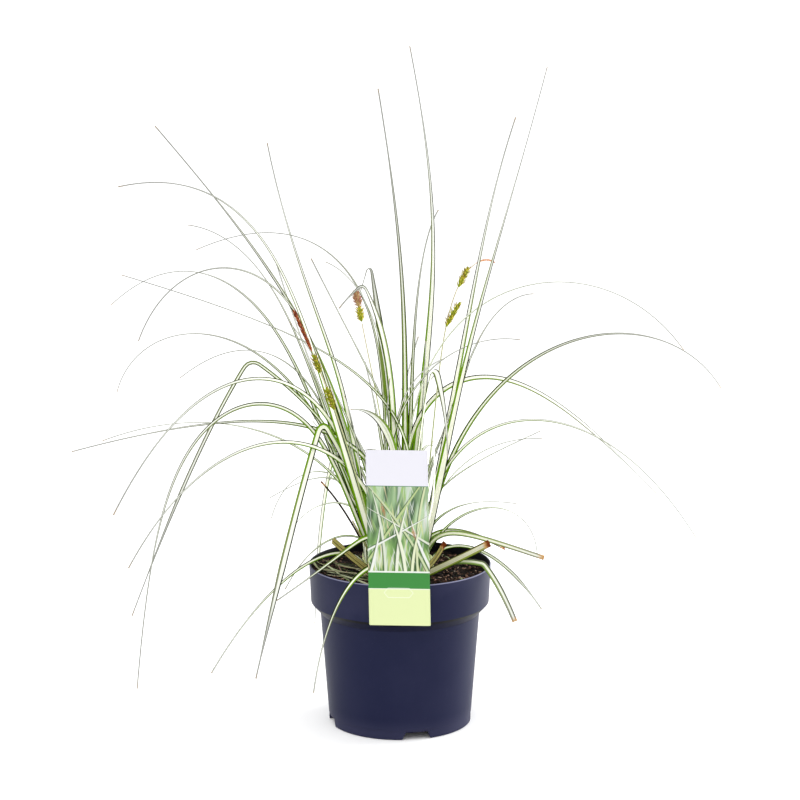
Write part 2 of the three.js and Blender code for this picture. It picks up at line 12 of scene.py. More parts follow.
import bpy
import numpy as np
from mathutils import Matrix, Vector


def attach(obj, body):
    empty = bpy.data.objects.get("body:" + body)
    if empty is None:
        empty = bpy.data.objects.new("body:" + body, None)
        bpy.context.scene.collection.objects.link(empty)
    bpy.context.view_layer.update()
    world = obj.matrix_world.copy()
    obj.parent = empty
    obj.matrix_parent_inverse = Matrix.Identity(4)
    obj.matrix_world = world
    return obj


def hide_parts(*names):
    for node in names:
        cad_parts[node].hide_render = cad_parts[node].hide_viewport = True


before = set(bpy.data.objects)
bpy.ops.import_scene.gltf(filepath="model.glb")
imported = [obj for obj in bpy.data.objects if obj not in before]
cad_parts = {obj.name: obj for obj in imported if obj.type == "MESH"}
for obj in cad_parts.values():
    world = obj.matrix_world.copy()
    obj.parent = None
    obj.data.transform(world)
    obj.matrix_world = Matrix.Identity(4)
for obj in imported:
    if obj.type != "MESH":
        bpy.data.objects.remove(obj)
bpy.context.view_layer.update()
MM = 0.001

# %% [markdown]
# ## The camera
# A long lens far away flattens the plant the way a catalogue picture does. The camera stands
# 2.26 m in front of the pot, looks a little down, and turns only about the X axis, so upright
# things stay upright. It comes first, so that each later step can be looked at.

# %% Place the camera
VIEW = Sizes(distance=2.255, height=0.737, down=10.82, lens=111.8, sensor=36.0)
scene = bpy.context.scene
camera = bpy.data.objects.new("camera", bpy.data.cameras.new("camera"))
camera.data.lens, camera.data.sensor_width = VIEW.lens, VIEW.sensor
camera.location = (0, -VIEW.distance, VIEW.height)
camera.rotation_euler = (math.radians(90 - VIEW.down), 0, 0)
scene.collection.objects.link(camera)
scene.camera = camera
print("camera", vars(VIEW))

# %% [markdown]
# ## Light
# The plant stands in a white studio. A white world lights every side alike. A sun as wide as a
# window, high at the front left, gives the leaves a light and a dark side and whitens the floor
# evenly to the horizon, which no lamp nearby could do. Two soft panels at the sides lay a sheen
# down the pot's edges.

# %% A white world, a soft sun and two panels
WORLD_STRENGTH = 1.15
POT_MIDDLE = (0.0, 0.0, 0.08)
world = bpy.data.worlds.new("studio")
scene.world = world
world.use_nodes = True
background = next(n for n in world.node_tree.nodes if n.type == "BACKGROUND")
background.inputs["Color"].default_value = (1.0, 1.0, 1.0, 1.0)
background.inputs["Strength"].default_value = WORLD_STRENGTH
scene.view_settings.view_transform = "Standard"
scene.view_settings.look = "None"


def add_lamp(name, kind, place, aim, energy, **settings):
    """A lamp of the given kind at place, turned to shine at aim."""
    lamp = bpy.data.objects.new("lamp_" + name, bpy.data.lights.new("lamp_" + name, kind))
    lamp.data.energy = energy
    for key, value in settings.items():
        setattr(lamp.data, key, value)
    lamp.location = place
    lamp.rotation_euler = (Vector(aim) - Vector(place)).to_track_quat("-Z", "Y").to_euler()
    scene.collection.objects.link(lamp)
    print("lamp", name, kind.lower(), energy)


add_lamp("sun", "SUN", (-1.3, -1.6, 2.6), POT_MIDDLE, 0.8, angle=math.radians(60))
add_lamp("right", "AREA", (1.3, 0.55, 0.35), POT_MIDDLE, 26, size=0.8)
add_lamp("left", "AREA", (-1.3, 0.5, 0.35), POT_MIDDLE, 3, size=0.8)

# %% [markdown]
# ## From arrays to a mesh
# Almost everything here is a tube: a row of rings, each ring the same number of points. A pot is
# a tube with huge rings, a leaf is a tube pressed flat, a grain of bark is a tube three rings
# long. So one helper turns an array of shape (tubes, rings, points, xyz) into one closed mesh,
# with a cap at both ends, and keeps any numbers that ride on the points, such as how far along a
# leaf they are.

# %% Tubes
def tube_faces(tubes, rings, sides):
    """Quads between each ring and the next, and a cap on the first and last ring of every tube.
    Rings run counter-clockwise seen from the next ring, so that all faces look outwards."""
    t, i, j = np.meshgrid(np.arange(tubes), np.arange(rings - 1), np.arange(sides), indexing="ij")
    start = (t * rings + i) * sides
    a, b = start + j, start + (j + 1) % sides
    quads = np.stack([a, b, b + sides, a + sides], axis=-1).reshape(-1, 4)
    first = np.arange(tubes)[:, None] * rings * sides + np.arange(sides)
    last = first + (rings - 1) * sides
    return quads.tolist() + first[:, ::-1].tolist() + last.tolist()


def make_tubes(name, points, uv=None, **numbers):
    """One object from points of shape (tubes, rings, sides, 3), in metres. uv has two values a
    point and each of numbers one value a point, kept as a UV map and as named attributes."""
    tubes, rings, sides = points.shape[:3]
    mesh = bpy.data.meshes.new(name)
    mesh.from_pydata(points.reshape(-1, 3).tolist(), [], tube_faces(tubes, rings, sides))
    mesh.polygons.foreach_set("use_smooth", np.ones(len(mesh.polygons), bool))
    for key, values in numbers.items():
        filled = np.broadcast_to(values, points.shape[:3]).astype(np.float32).ravel()
        mesh.attributes.new(key, "FLOAT", "POINT").data.foreach_set("value", filled)
    if uv is not None:
        corners = np.zeros(len(mesh.loops), np.int32)
        mesh.loops.foreach_get("vertex_index", corners)
        flat = np.broadcast_to(uv, points.shape[:3] + (2,)).reshape(-1, 2)[corners]
        mesh.uv_layers.new(name="map").data.foreach_set("uv", flat.astype(np.float32).ravel())
    piece = bpy.data.objects.new(name, mesh)
    scene.collection.objects.link(piece)
    return piece


def join(name, pieces):
    """One mesh or several joined into the first one, under a new name."""
    if len(pieces) > 1:
        with bpy.context.temp_override(active_object=pieces[0], selected_editable_objects=pieces):
            bpy.ops.object.join()
    pieces[0].name = pieces[0].data.name = name
    return pieces[0]


def dress(piece, material, slot, *nodes):
    """Gives a piece its material, hides the CAD nodes it stands for, and lets it ride. The slot is
    not used.
    """
    piece.data.materials.clear()
    piece.data.materials.append(material)
    if nodes:
        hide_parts(*nodes)
    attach(piece, "root")
    print(piece.name, "has", len(piece.data.polygons), "faces in", material.name)


def pairs(first, second):
    """Two arrays side by side as the two values of a UV map, each spread over the other's shape."""
    return np.stack(np.broadcast_arrays(first, second), -1)


def on_circle(angles):
    """The points of a circle of radius 1 at the given angles."""
    return pairs(np.cos(angles), np.sin(angles))


def rise(values, low, high):
    """0 below low, 1 above high, and a smooth S between them."""
    t = np.clip((values - low) / (high - low), 0, 1)
    return t * t * (3 - 2 * t)


def noise(x, y, size, seed):
    """Smooth random height from 0 to 1. Each corner of a square lattice has its own random number,
    and a point blends the four numbers round it by how near it is to each."""
    table = np.random.default_rng(seed).random((256, 256))
    u, v = np.asarray(x) / size, np.asarray(y) / size
    i, j = np.floor(u).astype(int), np.floor(v).astype(int)
    a, b = rise(u - i, 0, 1), rise(v - j, 0, 1)
    pick = lambda di, dj: table[(i + di) % 256, (j + dj) % 256]
    near = pick(0, 0) * (1 - a) + pick(1, 0) * a
    far = pick(0, 1) * (1 - a) + pick(1, 1) * a
    return near * (1 - b) + far * b


# %% [markdown]
# ## Shader maths as Python
# A material is a small program of nodes. Wiring dozens of Math nodes by hand is hard to read, so
# a Wire wraps a node's output and lets it take part in Python expressions: `1 - mask * 0.5` adds
# the two Math nodes it needs. A Finish is one material being written. Its node method adds any
# other node: its type, then its settings, then what goes into its sockets.

# %% Wires and finishes
class Wire:
    """A node's output, for use in expressions. Each operator adds one Math node."""

    def __init__(self, socket):
        self.socket = socket

    def maths(self, operation, *others, swap=False):
        tree = self.socket.id_data
        math_node = tree.nodes.new("ShaderNodeMath")
        math_node.operation = operation
        values = [self, *others]
        for socket, value in zip(math_node.inputs, values[::-1] if swap else values):
            plug(socket, value)
        return Wire(math_node.outputs[0])

    def __add__(self, other):
        return self.maths("ADD", other)

    def __sub__(self, other):
        return self.maths("SUBTRACT", other)

    def __rsub__(self, other):
        return self.maths("SUBTRACT", other, swap=True)

    def __mul__(self, other):
        return self.maths("MULTIPLY", other)

    def __truediv__(self, other):
        return self.maths("DIVIDE", other)

    def __gt__(self, other):
        return self.maths("GREATER_THAN", other)

    def __lt__(self, other):
        return self.maths("LESS_THAN", other)

    def __abs__(self):
        return self.maths("ABSOLUTE")

    __radd__, __rmul__ = __add__, __mul__


def shade(code):
    """A colour written as six hexadecimal digits, in the linear numbers that shaders use."""
    parts = np.array([int(code[i:i + 2], 16) for i in (0, 2, 4)]) / 255
    return tuple(np.where(parts < 0.04045, parts / 12.92, ((parts + 0.055) / 1.055) ** 2.4))


def plug(socket, value):
    """Links a Wire to a socket, or sets the socket to a number, a vector or a colour's code."""
    if isinstance(value, Wire):
        socket.id_data.links.new(value.socket, socket)
    elif isinstance(value, str):
        socket.default_value = (*shade(value), 1.0)
    else:
        socket.default_value = value


class Finish:
    """A material being written, with its Principled shader ready."""

    def __init__(self, name, **constants):
        self.material = bpy.data.materials.new(name)
        self.material.use_nodes = True
        self.tree = self.material.node_tree
        self.shader = next(n for n in self.tree.nodes if n.type == "BSDF_PRINCIPLED")
        self.set(**constants)

    def set(self, **values):
        """Sets or links sockets of the shader, named with _ for a space."""
        for key, value in values.items():
            plug(self.shader.inputs[key.replace("_", " ")], value)

    def node(self, kind, settings=None, inputs=None, output=0):
        """Adds a node: its type, its settings, what goes into its sockets, the output to use."""
        made = self.tree.nodes.new(kind)
        for key, value in (settings or {}).items():
            if key == "stops":
                while len(made.color_ramp.elements) < len(value):
                    made.color_ramp.elements.new(0.5)
                for element, (place, colour) in zip(made.color_ramp.elements, value):
                    element.position, element.color = place, (*shade(colour), 1.0)
            else:
                setattr(made, key, value)
        for key, value in (inputs or {}).items():
            plug(made.inputs[key], value)
        return Wire(made.outputs[output])

    def attributes(self, *names):
        """The numbers of these names that ride on the points."""
        kind = "ShaderNodeAttribute"
        return [self.node(kind, {"attribute_name": name}, output="Fac") for name in names]

    def place(self):
        """Object coordinates, in metres."""
        return self.node("ShaderNodeTexCoord", output="Object")

    def map_xy(self):
        """The two values of the piece's own UV map."""
        both = self.node("ShaderNodeUVMap", {"uv_map": "map"})
        split = self.node("ShaderNodeSeparateXYZ", inputs={"Vector": both}).socket.node
        return Wire(split.outputs[0]), Wire(split.outputs[1])

    def stretched(self, vector, *factors):
        """A vector whose three parts are multiplied by the factors."""
        return self.node("ShaderNodeMapping", inputs={"Vector": vector, "Scale": factors})

    def vector(self, x, y, z=0.0):
        return self.node("ShaderNodeCombineXYZ", inputs={"X": x, "Y": y, "Z": z})

    def noise(self, vector, scale, detail=2.0, roughness=0.5):
        inputs = {"Vector": vector, "Scale": scale, "Detail": detail, "Roughness": roughness}
        return self.node("ShaderNodeTexNoise", inputs=inputs)

    def rise(self, value, low, high):
        """0 below low, 1 above high, and a smooth S between them."""
        inputs = {"Value": value, "From Min": low, "From Max": high}
        return self.node("ShaderNodeMapRange", {"interpolation_type": "SMOOTHSTEP"}, inputs)

    def ramp(self, value, *stops):
        return self.node("ShaderNodeValToRGB", {"stops": stops}, {"Fac": value})

    def mix(self, share, colour_a, colour_b):
        """Colour a where share is 0 and colour b where it is 1."""
        made = self.tree.nodes.new("ShaderNodeMix")
        made.data_type = "RGBA"
        for place, value in ((0, share), (6, colour_a), (7, colour_b)):
            plug(made.inputs[place], value)
        return Wire(made.outputs[2])

    def bump(self, height, strength, distance):
        inputs = {"Height": height, "Strength": strength, "Distance": distance}
        self.set(Normal=self.node("ShaderNodeBump", inputs=inputs))


print("a test colour:", [round(float(c), 3) for c in shade("2b2f4a")])

# %% [markdown]
# ## The floor
# A big flat sheet that fills the view. Its paper-white surface goes almost fully white under the
# lamps, and only the soft shadow at the pot's foot shows where it is.

# %% Lay the floor
FLOOR = Sizes(half=30.0, drop=0.0004)
reach = FLOOR.half * np.array([[-1, -1], [1, -1], [1, 1], [-1, 1]])
floor_mesh = bpy.data.meshes.new("floor")
floor_mesh.from_pydata([(x, y, -FLOOR.drop) for x, y in reach], [], [(0, 1, 2, 3)])
floor = bpy.data.objects.new("floor", floor_mesh)
scene.collection.objects.link(floor)
paper = Finish("floor_paper", Roughness=0.9, Specular_IOR_Level=0.0)
grain = paper.noise(paper.place(), 3.0)
paper.set(Base_Color=paper.mix(grain, "fdfdfd", "fafafa"))
floor_mesh.materials.append(paper.material)
print("floor", 2 * FLOOR.half, "m wide")

# %% [markdown]
# ## The pot
# A nursery pot is blown or pressed from thin dark plastic: a collar to stiffen the rim, an
# undercut where pots nest, a tapered body and a foot ring with notches that let water out. It is
# turned, so the shape is one outline carried round an axis. Sharp corners would look like paper,
# so each corner of the outline becomes a small curve. In the notches the foot's lower edge rises
# by a formula.

# %% The pot's outline
POT = Sizes(
    rim=85.0, height=151.4, wall=1.5, collar=83.4, collar_z=115.4, shoulder=74.7, shoulder_z=106.0,
    foot=66.75, foot_z=8.5, foot_step=0.45, foot_wall=2.4, under=7.0, floor=8.5, lift=0.6,
)
NOTCH = Sizes(count=4, bottom=27.0, top=21.0, turn=-76.4)
DRAIN = Sizes(count=8, radius=4.0, ring=50.0, sides=32, span=(4.0, 12.0))


def soften(corners, radii, arc=6):
    """Each inner corner of an open outline becomes a parabola that starts and ends its radius away
    from the corner. Points near both ends of each straight stretch keep it flat when shaded."""
    corners, radii = np.array(corners, float), np.array(radii, float)[:, None]
    edges = np.diff(corners, axis=0)
    ahead = edges / np.linalg.norm(edges, axis=1, keepdims=True)
    middle, before, after = corners[1:-1], -ahead[:-1], ahead[1:]
    t = np.linspace(0, 1, arc)[:, None, None]
    start, end = middle + before * radii, middle + after * radii
    curve = (1 - t) ** 2 * start + 2 * t * (1 - t) * middle + t ** 2 * end
    rests = [middle + before * radii * 1.6, *curve, middle + after * radii * 1.6]
    inside = np.stack(rests, axis=1).reshape(-1, 2)
    return np.concatenate([corners[:1], inside, corners[-1:]])


pot_corners = [
    (0.8, POT.under),
    (POT.foot - POT.foot_wall, POT.under),
    (POT.foot - POT.foot_wall, 0.0),
    (POT.foot, 0.0),
    (POT.foot, POT.foot_z),
    (POT.foot + POT.foot_step, POT.foot_z),
    (POT.shoulder, POT.shoulder_z),
    (POT.collar, POT.collar_z),
    (POT.rim, POT.height),
    (POT.rim - POT.wall, POT.height),
    (POT.collar - POT.wall, POT.collar_z + POT.lift),
    (POT.shoulder - POT.wall, POT.shoulder_z + POT.lift),
    (POT.foot + POT.foot_step - POT.wall, POT.floor),
    (0.8, POT.floor),
]
pot_bends = [0.8, 0.6, 0.55, 0.14, 0.14, 0.7, 0.9, 0.55, 0.55, 0.9, 0.7, 2.0]
pot_outline = soften(pot_corners, pot_bends)
print("outline points:", len(pot_outline))

# %% Turn the outline, raise the notches, drill the drain holes
def around(columns):
    """Even angles round a circle, counter-clockwise from +X."""
    return np.arange(columns) / columns * 2 * np.pi


def carried_round(outline, angles):
    """Points (1, outline, angle, xyz): radius times cosine and sine of the angle, and height."""
    radius, height = outline[:, :1], outline[:, 1:]
    x, y = radius * np.cos(angles), radius * np.sin(angles)
    return np.stack([x, y, height + 0 * angles], -1)[None]


notch_turns = np.radians(NOTCH.turn + np.arange(NOTCH.count) * 360 / NOTCH.count)
notch_edges = np.array([-NOTCH.bottom, -NOTCH.top, NOTCH.top, NOTCH.bottom]) / 2
notch_angles = notch_turns[:, None] + np.arcsin(notch_edges / POT.foot)
pot_angles = np.union1d(around(180), np.mod(notch_angles.ravel(), 2 * np.pi))
pot_points = carried_round(pot_outline, pot_angles)
across = np.abs(np.sin(pot_angles[:, None] - notch_turns)) * POT.foot
ahead = np.cos(pot_angles[:, None] - notch_turns) > 0
slope = (NOTCH.bottom - NOTCH.top) / 2
opened = np.clip((NOTCH.bottom / 2 - across) / slope, 0, 1) * ahead
raised = POT.under * opened.max(axis=1)
in_foot = np.hypot(pot_points[..., 0], pot_points[..., 1]) > POT.foot - POT.foot_wall - 1
pot_points[..., 2] = np.where(in_foot, np.maximum(pot_points[..., 2], raised), pot_points[..., 2])
pot = make_tubes("pot_shell", pot_points * MM)

ring = on_circle(around(DRAIN.sides)) * DRAIN.radius
centre = on_circle((np.arange(DRAIN.count) + 0.5) / DRAIN.count * 2 * np.pi) * DRAIN.ring
flat = np.broadcast_to(centre[:, None, None] + ring, (DRAIN.count, 2, DRAIN.sides, 2))
level = np.broadcast_to(np.array(DRAIN.span)[:, None, None], (DRAIN.count, 2, DRAIN.sides, 1))
drills = make_tubes("drills", np.concatenate([flat, level], -1) * MM)
cut = pot.modifiers.new("drains", "BOOLEAN")
cut.operation, cut.solver, cut.object = "DIFFERENCE", "EXACT", drills
with bpy.context.temp_override(object=pot, active_object=pot):
    bpy.ops.object.modifier_apply(modifier=cut.name)
bpy.data.objects.remove(drills)
print("pot vertices after drilling:", len(pot.data.vertices))

# %% [markdown]
# ### Its plastic
# Recycled plastic is never one flat colour. It is a dark indigo that goes a little purple in
# places, with dust here and there, and it has a satin skin: faint flow marks run up the wall, and
# fine scuffs sit on the collar and the foot, where pots rub against each other. The inner wall is
# painted near black as shade, the undercut below the collar is painted darker as shade, and the
# lip carries a painted highlight.

# %% Moulded plastic
# Each zone of the wall fades in between two heights, in metres. The inner wall is what lies nearer
# to the axis than a cone that widens by its flare.
ZONES = dict(
    foot=(0.003, 0.02), shoulder=(0.1045, 0.1065), crease=(0.1116, 0.1132), collar=(0.112, 0.118),
    collar_edge=(0.1148, 0.1156), lip=(0.1503, 0.151),
)
SHADED_INNER_WALL = Sizes(above=0.117, flare=0.0444, radius=(0.0771, 0.0774))
plastic = Finish("pot_plastic", Roughness=0.4, Specular_IOR_Level=0.1)
place = plastic.place()
clouds = plastic.noise(place, 14.0, 4.0)
flow = plastic.noise(plastic.stretched(place, 1.0, 1.0, 0.12), 160.0)
height = plastic.node("ShaderNodeSeparateXYZ", inputs={"Vector": place}, output="Z")
zone = {name: plastic.rise(height, *span) for name, span in ZONES.items()}
body = plastic.mix(plastic.rise(clouds, 0.35, 0.7), "141834", "1a1d38")
specks = plastic.rise(plastic.noise(place, 900.0, 1.0), 0.74, 0.8)
collar_dust = zone["collar"] * (0.05 + plastic.rise(clouds, 0.45, 0.65) * 0.2)
dust = collar_dust + (1 - zone["foot"]) * 0.5 + specks * 0.6
dust_and_painted_light = plastic.mix(dust * 0.3, body, "55546c")
# Painted shade: the undercut below the collar is painted dark blue, and a near-black line is
# painted in the crease under the collar's edge.
under = zone["shoulder"] * (1 - zone["collar_edge"])
crease = zone["crease"] * (1 - zone["collar_edge"])
dust_and_painted_light = plastic.mix(crease, plastic.mix(under * 0.8, dust_and_painted_light, "06081f"), "020204")
# Painted highlight: a pale line painted along the top of the lip, broken up by the clouds.
lip = zone["lip"] * plastic.rise(clouds, 0.3, 0.6)
dust_and_painted_light = plastic.mix(lip * 0.7, dust_and_painted_light, "8f90ab")
# Painted shade: the inner wall above the compost is painted near black.
seen_from_above = {"Vector": plastic.stretched(place, 1.0, 1.0, 0.0)}
radius = plastic.node("ShaderNodeVectorMath", {"operation": "LENGTH"}, seen_from_above, "Value")
nearer = 1 - plastic.rise(radius - height * SHADED_INNER_WALL.flare, *SHADED_INNER_WALL.radius)
inside = nearer * (height > SHADED_INNER_WALL.above)
dust_and_painted_light = plastic.mix(inside, dust_and_painted_light, plastic.mix(clouds, "05050a", "0d0c12"))
plastic.set(Base_Color=dust_and_painted_light, Roughness=0.36 + clouds * 0.12 + flow * 0.06)
plastic.bump(flow * 0.6 + clouds * 0.4 + specks * 0.2, 0.1, 0.0005)
dress(pot, plastic.material, "pot", "pot")

# %% [markdown]
# ## The compost
# Compost fills the pot to a finger's width under the rim. Its top is broad lumps with crumbs on
# them, so it is a turned shape whose height is a sum of waves and of random noise at three sizes:
# lumps, clods and crumbs. Bits of bark and a few white grains of perlite lie on it.

# %% Soil height
SOIL = Sizes(level=142.4, swell=1.1, lump=16.0, heap=4.0, heap_at=(-74.0, 16.0), heap_spread=300.0)


def soil_height(x, y):
    """Level plus half the swell of two crossing waves, and a heap at the left that falls off as a
    bell curve, in millimetres."""
    wave = np.sin(x / SOIL.lump + 1) * np.cos(y / SOIL.lump) + np.sin((x + y) / SOIL.lump)
    heap_x, heap_y = SOIL.heap_at
    heap = SOIL.heap * np.exp(-((x - heap_x) ** 2 + (y - heap_y) ** 2) / SOIL.heap_spread)
    return SOIL.level + SOIL.swell * wave / 2 + heap


def crumbled(x, y):
    """The soil's height with clods, crumbs and grit on it."""
    clods = 2.6 * (noise(x, y, 11.0, 1) - 0.45)
    crumbs = 1.9 * noise(x, y, 4.2, 2) ** 2
    grit = 0.9 * noise(x, y, 1.7, 3)
    return soil_height(x, y) + clods + crumbs + grit - 0.8


# The side keeps about 0.4 mm inside the pot's wall: radius and height of each corner.
inner = POT.collar - POT.wall + 0.55
soil_side = [(0.8, 8.9), (65.3, 8.9), (72.9, 106.8), (81.5, 116.2), (inner + 0.4, 139)]
soil_top = pairs(np.linspace(inner + 0.45, 0.5, 96), SOIL.level)
soil_points = carried_round(np.concatenate([soil_side, soil_top]), around(256))
x, y = soil_points[..., 0], soil_points[..., 1]
top_rings = np.arange(soil_points.shape[1])[None, :, None] >= len(soil_side)
soil_points[..., 2] = np.where(top_rings, crumbled(x, y), soil_points[..., 2])
soil = make_tubes("compost", soil_points * MM)

# %% Scatter bark and perlite
def scatter(count, seed, reach=79.0):
    """Random places inside a circle: the square root of a random share keeps them evenly spread."""
    rng = np.random.default_rng(seed)
    radius, angle = reach * np.sqrt(rng.random(count)), rng.random(count) * 2 * np.pi
    return rng, radius * np.cos(angle), radius * np.sin(angle)


def pebbles(name, count, seed, long, wide, tall, sides=6):
    """Rounded grains: rings whose radius follows a half circle, stretched to long, wide and tall,
    roughened by a random share at each point, and turned by a random angle."""
    rng, x, y = scatter(count, seed)
    up = np.linspace(-0.96, 0.96, 5)
    round_off = np.sqrt(1 - up ** 2)[None, :, None]
    rough = rng.uniform(0.75, 1.2, (count, 5, sides))
    size = rng.uniform(0.6, 1.4, (count, 1, 1))
    angles = around(sides)
    px = np.cos(angles) * round_off * rough * size * long / 2
    py = np.sin(angles) * round_off * rough * size * wide / 2
    pz = up[None, :, None] * size * tall / 2 + 0 * px
    turn, tip = rng.uniform(0, 2 * np.pi, (2, count, 1, 1))
    pz = pz + px * np.sin(tip) * 0.35
    spun_x, spun_y = px * np.cos(turn) - py * np.sin(turn), px * np.sin(turn) + py * np.cos(turn)
    spun = np.stack([spun_x, spun_y, pz], -1)
    base = np.stack([x, y, crumbled(x, y) + 0.25 * tall], -1)[:, None, None]
    tone = rng.random((count, 1, 1))
    return make_tubes(name, (spun + base) * MM, tone=tone)


# How many, the seed, the length, width and height in millimetres, and the sides if not six.
BARK = {
    "chips": (420, 11, 4.6, 1.9, 1.2),
    "slivers": (260, 12, 7.5, 1.0, 0.8),
    "crumbs": (700, 13, 2.0, 1.7, 1.4, 5),
}
bark = join("bark", [pebbles(name, *row) for name, row in BARK.items()])
perlite = pebbles("perlite", 26, 14, 2.0, 1.6, 1.3)
print("grains of bark:", sum(row[0] for row in BARK.values()))

# %% Compost, bark and perlite finishes
compost = Finish("compost", Specular_IOR_Level=0.1)
place = compost.place()
fine, broad = compost.noise(place, 900.0, 4.0), compost.noise(place, 150.0, 3.0)
compost.set(
    Base_Color=compost.ramp(
        fine * 0.55 + broad * 0.45,
        (0.38, "020101"), (0.49, "100a07"), (0.58, "291b14"), (0.68, "5c4436"),
    ),
    Roughness=0.85 + fine * 0.15,
)
compost.bump(fine, 0.7, 0.0008)
dress(soil, compost.material, "soil", "soil")

chip = Finish("bark_chips", Specular_IOR_Level=0.2)
[tone], streaks = chip.attributes("tone"), chip.noise(chip.place(), 700.0, 3.0)
chip.set(
    Base_Color=chip.ramp(
        tone * 0.7 + streaks * 0.3,
        (0.2, "0a0604"), (0.48, "24150e"), (0.66, "57392c"), (0.8, "937262"), (0.92, "c4ac9c"),
    ),
    Roughness=0.7 + streaks * 0.3,
)
chip.bump(streaks, 0.5, 0.0004)
dress(bark, chip.material, "soil")

grit = Finish("perlite_grit", Specular_IOR_Level=0.2)
[tone], pores = grit.attributes("tone"), grit.noise(grit.place(), 1500.0, 2.0)
chalky = grit.ramp(tone * 0.4 + pores * 0.6, (0.3, "8d8271"), (0.6, "cfc9bc"))
grit.set(Base_Color=chalky, Roughness=0.9)
grit.bump(pores, 0.6, 0.0003)
dress(perlite, grit.material, "soil")

# %% [markdown]
# ## The leaves' curves
# A sedge leaf rises from its shoot, leans out and bends over under its own weight, most of it in
# one stretch. So a row of the table gives the angle from upright at both ends, where the bend is
# centred and how sudden it is. The angle at each share of the length follows from these, and
# adding up many short steps in that direction draws the curve. A folded leaf adds a quick kink.
# The CAD solids come from such a table too, and nearly all of its rows are the same, so a dressed
# leaf lies where its solid is. Ten leaves differ: they are rolled, widened, narrowed or bent
# otherwise, and the second cut leaf of shoot j points another way than its solid does.

